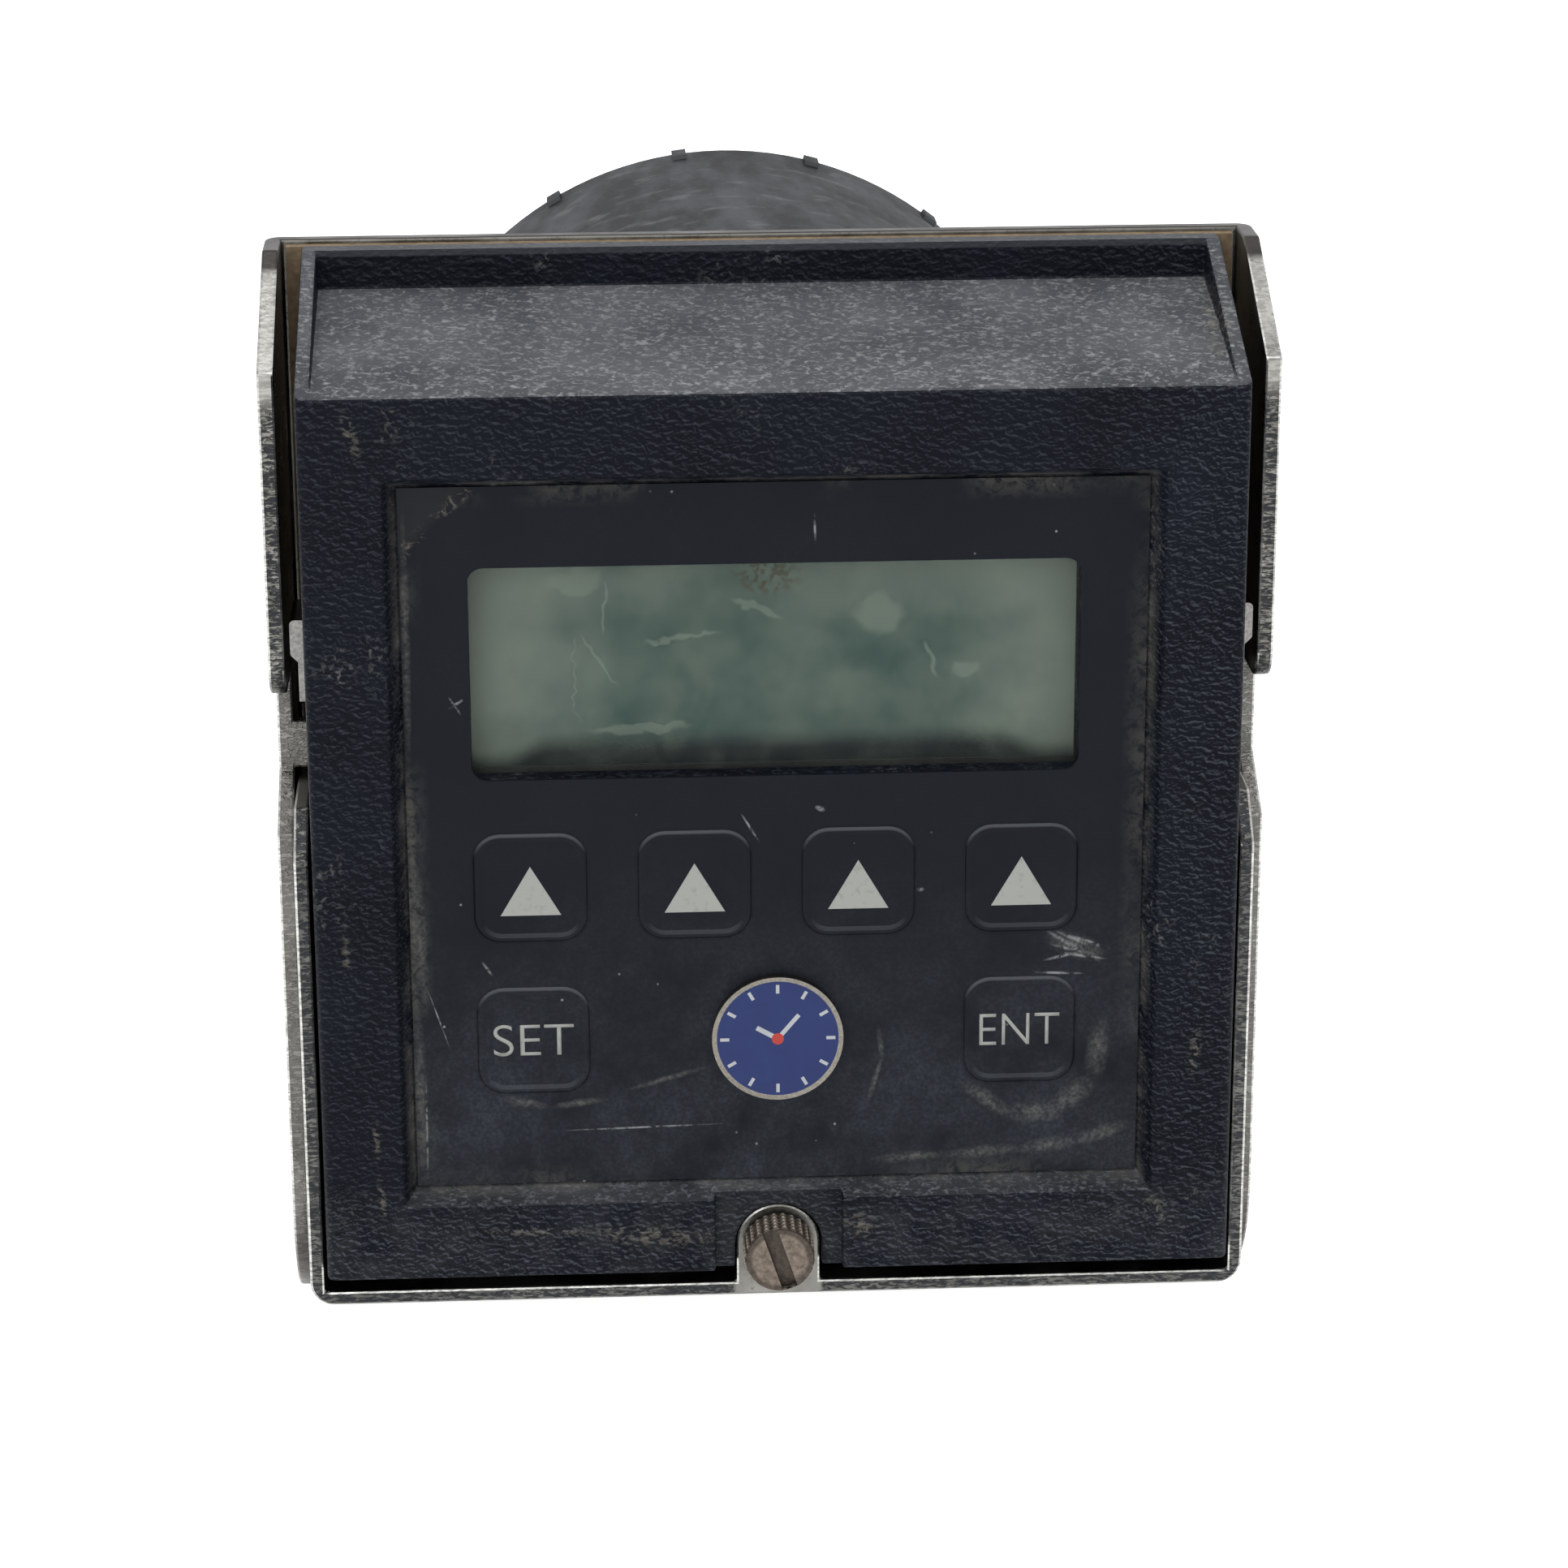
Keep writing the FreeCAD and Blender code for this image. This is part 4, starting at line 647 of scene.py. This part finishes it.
def film_finish(name, whole_sheet):
    """The printed film; the whole sheet also has the scratches, and the dirt along its border."""
    finish, tree, shader, place = new_finish(name)
    clouds = add(tree, "TexNoise", {"Vector": place, "Scale": 1 / FILM_CLOUD_MM, "Detail": 4.0})
    colour = add(tree, "Mix", {"Factor": clouds, 6: "#0c1018", 7: "#13171f"})
    smudges = add(tree, "TexNoise", {
        "Vector": place, "Scale": 1 / SMUDGE_MM, "Detail": 6.0, "Roughness": 0.65})
    smudge_level = add(tree, "MapRange", {"Value": smudges, "From Min": 0.35, "From Max": 0.75})
    dust = add(tree, "TexNoise", {"Vector": place, "Scale": 1 / FILM_DUST_MM, "Detail": 4.0})
    dust_level = add(tree, "MapRange", {"Value": dust, "From Min": 0.40, "From Max": 0.75, "To Min": 0.35})
    smudge_level = add(tree, "Math", {0: smudge_level, 1: dust_level}, operation="MULTIPLY")
    x, y, z = add(tree, "SeparateXYZ", {0: place}).outputs
    lower = add(tree, "MapRange", {
        "Value": z, "From Min": DUSTY_FROM_MM, "From Max": DUSTY_TO_MM, "To Min": 0.03, "To Max": 0.4})
    smudge_part = add(tree, "Math", {0: smudge_level, 1: lower}, operation="MULTIPLY")
    smudged = add(tree, "Mix", {"Factor": smudge_part, 6: colour, 7: "#656a73"})
    specks = add(tree, "TexVoronoi", {"Vector": place, "Scale": 1 / SPECK_MM}, feature="F1")
    speck_level = add(tree, "MapRange", {"Value": specks, "From Min": 0.09, "From Max": 0.03})
    rare = add(tree, "SeparateXYZ", {0: specks.outputs["Color"]})
    rare_level = add(tree, "MapRange", {"Value": rare.outputs["X"], "From Min": 0.80, "From Max": 0.95})
    speck_part = add(tree, "Math", {0: speck_level, 1: rare_level}, operation="MULTIPLY")
    worn = add(tree, "Mix", {"Factor": speck_part, 6: smudged, 7: "#8d9093"})
    crust = add(tree, "TexNoise", {
        "Vector": place, "Scale": 1 / CRUST_MM, "Detail": 6.0, "Roughness": 0.7, "Distortion": 0.6})
    if whole_sheet:
        # Scratches show where the crust's noise lets them, so they break up along their length.
        scratch_level = add(tree, "MapRange", {
            "Value": crust, "From Min": 0.40, "From Max": 0.56, "To Max": 0.7})
        scratch_part = add(tree, "Math", {
            0: strokes(tree, place, SCRATCHES_MM, 0.7), 1: scratch_level}, operation="MULTIPLY")
        worn = add(tree, "Mix", {"Factor": scratch_part, 6: worn, 7: "#a3a6a8"})
        # Smears are fine dust, thicker in some stretches.
        smear_level = add(tree, "MapRange", {
            "Value": crust, "From Min": 0.36, "From Max": 0.62, "To Min": 0.15, "To Max": 0.8})
        smear_part = add(tree, "Math", {
            0: strokes(tree, place, SMEARS_MM, 0.9), 1: smear_level}, operation="MULTIPLY")
        smear_part = add(tree, "Math", {0: smear_part, 1: dust_level}, operation="MULTIPLY")
        worn = add(tree, "Mix", {"Factor": smear_part, 6: worn, 7: "#7a7a76"})
        # Dirt lies along parts of the border, and fills the upper left corner up to a crusted arc.
        off_middle = add(tree, "Math", {0: x}, operation="ABSOLUTE")
        to_side = add(tree, "Math", {0: FILM_HALF_WIDTH_MM, 1: off_middle}, operation="SUBTRACT")
        to_top = add(tree, "Math", {0: FILM_TOP_MM, 1: z}, operation="SUBTRACT")
        to_foot = add(tree, "Math", {0: z, 1: FILM_FOOT_MM}, operation="SUBTRACT")
        nearest = add(tree, "Math", {0: to_top, 1: to_foot}, operation="MINIMUM")
        nearest = add(tree, "Math", {0: nearest, 1: to_side}, operation="MINIMUM")
        border = add(tree, "MapRange", {
            "Value": nearest, "From Min": EDGE_DIRT_MM, "From Max": 0.0, "To Max": 0.8})
        stretch = add(tree, "MapRange", {"Value": clouds, "From Min": 0.46, "From Max": 0.62})
        border_part = add(tree, "Math", {0: border, 1: stretch}, operation="MULTIPLY")
        border_part = add(tree, "Math", {0: border_part, 1: scratch_level}, operation="MULTIPLY")
        to_left = add(tree, "Math", {0: x, 1: FILM_HALF_WIDTH_MM}, operation="ADD")
        to_corner = add(tree, "Math", {0: to_left, 1: to_top}, operation="ADD")
        corner = add(tree, "MapRange", {
            "Value": to_corner, "From Min": CORNER_MM, "From Max": CORNER_MM - 1.0, "To Max": 0.1})
        dirt_part = add(tree, "Math", {0: border_part, 1: corner}, operation="MAXIMUM")
        worn = add(tree, "Mix", {"Factor": dirt_part, 6: worn, 7: "#5a5853"})
        arc_in = add(tree, "MapRange", {
            "Value": to_corner, "From Min": CORNER_MM - 1.4, "From Max": CORNER_MM - 0.4})
        arc_out = add(tree, "MapRange", {
            "Value": to_corner, "From Min": CORNER_MM + 0.6, "From Max": CORNER_MM - 0.2})
        arc = add(tree, "Math", {0: arc_in, 1: arc_out}, operation="MULTIPLY")
        arc_level = add(tree, "MapRange", {
            "Value": crust, "From Min": 0.54, "From Max": 0.64, "To Max": 0.5})
        arc_part = add(tree, "Math", {0: arc, 1: arc_level}, operation="MULTIPLY")
        worn = add(tree, "Mix", {"Factor": arc_part, 6: worn, 7: "#8f8a7c"})
    else:
        # The raised outline of a key is painted pale where it looks up: partly rubbing, partly a painted
        # highlight.
        surface = add(tree, "NewGeometry")
        facing = add(tree, "SeparateXYZ", {0: surface.outputs["Normal"]})
        rub_and_highlight_level = add(tree, "MapRange", {
            "Value": facing.outputs["Z"], "From Min": 0.12, "From Max": 0.5, "To Max": 0.38})
        worn = add(tree, "Mix", {"Factor": rub_and_highlight_level, 6: worn, 7: "#767a80"})
    feed(shader, {"Base Color": worn, "Roughness": 0.45, "Specular IOR Level": 0.1})
    return finish


sheet_film = film_finish("matt_printed_polyester_film", True)
dress(sheet_film, "overlay_film")

# Keys: pads of the same film, each with an embossed outline that stands a little proud round a sunk middle.
# A thin web of the sheet runs up to each pad. The arrows and words are printed in an off-white ink.
UPRIGHT = Matrix.Rotation(math.radians(90), 3, "X")
KEY_ROUND_MM = 2.2
WEB_MM = 0.14
WEB_SLIT_MM = 0.02
WEB_THICK_MM = 0.1
KEY_STEPS_MM = ((0.30, 0.11), (0.10, 0.0), (0.30, -0.19))
ARROW_BASE_MM = 4.93
ARROW_TALL_MM = 4.2
ARROW_FOOT_MM = 2.4
INK_MM = 0.02
WORD_TALL_MM = 2.75
WORD_WIDE_MM = 6.6
WORD_THINNING = -0.01
WORDS = {"key_set": "SET", "key_enter": "ENT"}
key_film = film_finish("embossed_polyester_film", False)

INK_SPOT_MM = 0.7
ink, tree, shader, place = new_finish("off_white_screen_ink")
spots = add(tree, "TexNoise", {"Vector": place, "Scale": 1 / INK_SPOT_MM, "Detail": 4.0})
spot_level = add(tree, "MapRange", {"Value": spots, "From Min": 0.55, "From Max": 0.80, "To Max": 0.6})
ink_colour = add(tree, "Mix", {"Factor": spot_level, 6: "#a6a8a4", 7: "#7d7d72"})
feed(shader, {"Base Color": ink_colour, "Roughness": 0.5, "Specular IOR Level": 0.2})


def rounded_face(low, high, grow):
    """A mesh of one face on a key's front, with round corners and a margin, and that face."""
    mesh = bmesh.new()
    left, right, foot, head = low.x - grow, high.x + grow, low.z - grow, high.z + grow
    outline = ((left, foot), (right, foot), (right, head), (left, head))
    corners = [mesh.verts.new((x, low.y, z)) for x, z in outline]
    mesh.faces.new(corners)
    bmesh.ops.bevel(mesh, geom=corners, offset=KEY_ROUND_MM * MM + grow, offset_type="OFFSET", segments=8,
                    profile=0.5, affect="VERTICES", material=-1)
    mesh.faces.ensure_lookup_table()
    return mesh, mesh.faces[0]


def thicken(mesh, thick):
    """Give a mesh of flat faces on the front a thickness towards the back."""
    grown = bmesh.ops.extrude_face_region(mesh, geom=list(mesh.faces))
    back = [item for item in grown["geom"] if isinstance(item, bmesh.types.BMVert)]
    bmesh.ops.translate(mesh, verts=back, vec=(0, thick, 0))
    bmesh.ops.recalc_face_normals(mesh, faces=mesh.faces)


for key in ("key_1", "key_2", "key_3", "key_4", "key_set", "key_enter"):
    low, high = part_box(key)
    middle = (low + high) / 2
    web, inside = rounded_face(low, high, WEB_MM * MM)
    bmesh.ops.inset_region(web, faces=[inside], thickness=(WEB_MM - WEB_SLIT_MM) * MM, use_even_offset=True,
                           use_boundary=True)
    bmesh.ops.delete(web, geom=[inside], context="FACES_ONLY")
    thicken(web, WEB_THICK_MM * MM)
    new_piece(key + "_web", web, sheet_film, "module")
    pad, top = rounded_face(low, high, 0.0)
    for thickness, depth in KEY_STEPS_MM:
        bmesh.ops.inset_region(pad, faces=[top], thickness=thickness * MM, depth=depth * MM,
                               use_even_offset=True, use_boundary=True)
    skirt = bmesh.ops.extrude_edge_only(pad, edges=[edge for edge in pad.edges if edge.is_boundary])
    skirt_verts = [item for item in skirt["geom"] if isinstance(item, bmesh.types.BMVert)]
    bmesh.ops.translate(pad, verts=skirt_verts, vec=(0, high.y - low.y, 0))
    bmesh.ops.contextual_create(pad, geom=skirt_verts)
    bmesh.ops.recalc_face_normals(pad, faces=pad.faces)
    for face in pad.faces:
        face.smooth = len(face.verts) == 4
    piece = new_piece(key + "_pad", pad, key_film, key)
    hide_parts(key)
    front = low.y - (sum(depth for _, depth in KEY_STEPS_MM) + INK_MM) * MM
    sign = bmesh.new()
    if key in WORDS:
        letters = bpy.data.curves.new(key + "_word", "FONT")
        letters.body = WORDS[key]
        letters.offset = WORD_THINNING
        letters.align_x = "CENTER"
        letters.align_y = "CENTER"
        draft = bpy.data.objects.new(key + "_word", letters)
        sign.from_mesh(draft.to_mesh())
        bpy.data.objects.remove(draft)
        bpy.data.curves.remove(letters)
        xs = [vert.co.x for vert in sign.verts]
        ys = [vert.co.y for vert in sign.verts]
        wide, tall = max(xs) - min(xs), max(ys) - min(ys)
        centre = Vector((max(xs) + min(xs), max(ys) + min(ys), 0)) / 2
        bmesh.ops.translate(sign, verts=sign.verts, vec=-centre)
        fit = (WORD_WIDE_MM * MM / wide, WORD_TALL_MM * MM / tall, 1.0)
        bmesh.ops.scale(sign, verts=sign.verts, vec=fit)
        bmesh.ops.rotate(sign, verts=sign.verts, matrix=UPRIGHT)
        bmesh.ops.translate(sign, verts=sign.verts, vec=(middle.x, front, middle.z))
    else:
        foot = middle.z - ARROW_FOOT_MM * MM
        half = ARROW_BASE_MM / 2 * MM
        sign.faces.new([sign.verts.new(corner) for corner in (
            (middle.x - half, front, foot), (middle.x + half, front, foot),
            (middle.x, front, foot + ARROW_TALL_MM * MM))])
    thicken(sign, INK_MM * MM)
    new_piece(key + "_print", sign, ink, key)

# Badge: a round stamped aluminium plate stuck on the film, with a bright rim and an enamelled field.
# The field carries a plain clock face: hour ticks, two hands and a small hub.
RIM_MM = 0.3
RIM_PROUD_MM = 0.12
TICKS = 12
TICK_WIDE_MM = 0.28
TICK_LONG_MM = 0.75
TICK_MARGIN_MM = 0.66
FIELD_MARGIN_MM = 0.39
FIELD_PROUD_MM = 0.09
HAND_TAIL_MM = 0.4
HANDS = ((-60, 2.0, 0.42), (40, 2.7, 0.36))
HUB_RADIUS_MM = 0.5
badge_low, badge_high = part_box("badge")
badge_middle = (badge_low + badge_high) / 2
badge_radius = (badge_high.x - badge_low.x) / 2
badge_front = badge_low.y

BRUSH_MM = 0.2
silver = mottled_finish("bright_rolled_aluminium", BRUSH_MM, 2.0, "#5a564f", "#8d8982", 0.3, metallic=1.0)
dress(silver, "badge")

ENAMEL_MM = 1.5
blue, white, red = (
    mottled_finish(name, ENAMEL_MM, 3.0, dark, pale, 0.35, shine=0.3)
    for name, dark, pale in (("blue_enamel", "#12235a", "#1a2f6a"), ("white_enamel", "#a9aeb4", "#c6c9cc"),
                             ("red_enamel", "#a8322e", "#c2443d")))


def badge_disc(radius, front, thick, segments=64):
    """A flat disc on the badge, facing the front."""
    disc = bmesh.new()
    bmesh.ops.create_cone(disc, cap_ends=True, segments=segments, radius1=radius, radius2=radius,
                          depth=thick)
    bmesh.ops.rotate(disc, verts=disc.verts, matrix=UPRIGHT)
    bmesh.ops.translate(disc, verts=disc.verts, vec=(badge_middle.x, front + thick / 2, badge_middle.z))
    return disc


def badge_bar(mesh, turn, inner, outer, width, front):
    """A thin bar on the badge from one radius to another, turned clockwise from the top."""
    bar = bmesh.ops.create_cube(mesh, size=1.0)["verts"]
    bmesh.ops.scale(mesh, verts=bar, vec=(width, INK_MM * MM, outer - inner))
    bmesh.ops.translate(mesh, verts=bar, vec=(0, 0, (outer + inner) / 2))
    bmesh.ops.rotate(mesh, verts=bar, matrix=Matrix.Rotation(turn, 3, "Y"))
    bmesh.ops.translate(mesh, verts=bar, vec=(badge_middle.x, front, badge_middle.z))


rim = badge_disc(badge_radius, badge_front - RIM_PROUD_MM * MM, RIM_PROUD_MM * MM)
rim.faces.ensure_lookup_table()
rim_front = min(rim.faces, key=lambda face: face.calc_center_median().y)
bmesh.ops.inset_region(rim, faces=[rim_front], thickness=RIM_MM * MM, depth=0.0)
bmesh.ops.translate(rim, verts=rim_front.verts, vec=(0, RIM_PROUD_MM / 2 * MM, 0))
new_piece("badge_rim", rim, silver, "module")
field_front = badge_front - FIELD_PROUD_MM * MM
field = badge_disc(badge_radius - FIELD_MARGIN_MM * MM, field_front, RIM_PROUD_MM / 2 * MM)
new_piece("badge_field", field, blue, "module")
ticks = bmesh.new()
tick_outer = badge_radius - TICK_MARGIN_MM * MM
for step in range(TICKS):
    badge_bar(ticks, math.tau * step / TICKS, tick_outer - TICK_LONG_MM * MM, tick_outer, TICK_WIDE_MM * MM,
              field_front)
for degrees, reach, wide in HANDS:
    badge_bar(ticks, math.radians(degrees), -HAND_TAIL_MM * MM, reach * MM, wide * MM, field_front)
new_piece("badge_ticks", ticks, white, "module")
hub = badge_disc(HUB_RADIUS_MM * MM, field_front - INK_MM * MM, INK_MM * 2 * MM, segments=24)
new_piece("badge_hub", hub, red, "module")

# Lock screw: a turned thumb screw with a screwdriver slot; its rim is knurled in small pyramids.
# Old plating, brown with grime: pale on the face, dark in the slot and cuts; the points of the knurl get a
# painted highlight.
KNURL_TEETH = 24
KNURL_ROWS = 5
KNURL_MM = 0.24
KNURL_SETOFF_MM = 0.02
KNURL_SETBACK_MM = 0.15
HEAD_TALL_MM = 3.4
FACE_RADIUS_MM = 2.3
SCREW_GRIME_MM = 0.5
screw_low, screw_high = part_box("lock_screw")
screw_middle = (screw_low + screw_high) / 2
head_radius = (screw_high.x - screw_low.x) / 2
face_mm = screw_low.y / MM

screw_metal, tree, shader, place = new_finish("grimy_plated_thumb_screw")
grime = add(tree, "TexNoise", {
    "Vector": place, "Scale": 1 / SCREW_GRIME_MM, "Detail": 4.0, "Roughness": 0.6})
grime_level = add(tree, "MapRange", {"Value": grime, "From Min": 0.34, "From Max": 0.66})
brown = add(tree, "Mix", {"Factor": grime_level, 6: "#2d2620", 7: "#574c42"})
rubbed = add(tree, "Mix", {"Factor": grime_level, 6: "#544a40", 7: "#86796d"})
from_axis = add(tree, "Mapping", {
    "Vector": place, "Scale": (1.0, 0.0, 1.0),
    "Location": (-screw_middle.x / MM, 0.0, -screw_middle.z / MM)})
radius = add(tree, "VectorMath", {0: from_axis}, operation="LENGTH")
in_face = add(tree, "MapRange", {
    "Value": radius, "From Min": FACE_RADIUS_MM + 0.15, "From Max": FACE_RADIUS_MM - 0.1})
x, y, z = add(tree, "SeparateXYZ", {0: place}).outputs
in_front = add(tree, "MapRange", {"Value": y, "From Min": face_mm + 0.15, "From Max": face_mm + 0.05})
rub_part = add(tree, "Math", {0: in_face, 1: in_front}, operation="MULTIPLY")
screw_colour = add(tree, "Mix", {"Factor": rub_part, 6: brown, 7: rubbed})
# Painted highlight on the points of the knurl.
knurl_highlight = add(tree, "MapRange", {
    "Value": radius, "From Min": head_radius / MM + KNURL_MM * 0.4,
    "From Max": head_radius / MM + KNURL_MM, "To Max": 0.9})
highlit_knurl_colour = add(tree, "Mix", {"Factor": knurl_highlight, 6: screw_colour, 7: "#c4b7a8"})
grime_bump = add(tree, "Bump", {"Strength": 0.5, "Distance": 0.08 * MM, "Height": grime})
feed(shader, {"Base Color": highlit_knurl_colour, "Normal": grime_bump, "Metallic": 0.3, "Roughness": 0.5})
dress(screw_metal, "lock_screw")

knurl = bmesh.new()
knurl_tall = (HEAD_TALL_MM - 2 * KNURL_SETBACK_MM) * MM
knurl_radius = head_radius + KNURL_SETOFF_MM * MM
bmesh.ops.create_cone(knurl, cap_ends=False, segments=KNURL_TEETH, radius1=knurl_radius,
                      radius2=knurl_radius, depth=knurl_tall)
long_edges = [edge for edge in knurl.edges if abs(edge.verts[0].co.z - edge.verts[1].co.z) > knurl_tall / 2]
bmesh.ops.subdivide_edges(knurl, edges=long_edges, cuts=KNURL_ROWS - 1, use_grid_fill=True)
bmesh.ops.recalc_face_normals(knurl, faces=knurl.faces)
bmesh.ops.poke(knurl, faces=knurl.faces, offset=KNURL_MM * MM)
bmesh.ops.rotate(knurl, verts=knurl.verts, matrix=UPRIGHT)
knurl_middle = screw_low.y + KNURL_SETBACK_MM * MM + knurl_tall / 2
bmesh.ops.translate(knurl, verts=knurl.verts, vec=(screw_middle.x, knurl_middle, screw_middle.z))
new_piece("lock_screw_knurl", knurl, screw_metal, "lock_screw")

# Inside: boards, switches, relay, transformer and capacitors, out of sight until the module is pulled.
# Glass laminate: green lacquer with a faint weave.
BOARD_WEAVE_MM = 0.6
laminate = mottled_finish("green_glass_laminate", BOARD_WEAVE_MM, 2.0, "#2c5a3a", "#3f7349", 0.4)
dress(laminate, "display_board", "power_board")

# Epoxy mouldings of the components: near black and faintly mottled.
moulded = mottled_finish("black_component_moulding", PHENOLIC_SPECK_MM, 2.0, "#1b1b1d", "#2b2b2e", 0.5)
dress(moulded, "key_switches", "chips", "relay", "lcd_holder", "elastomer_strips", "transformer",
      "capacitors")
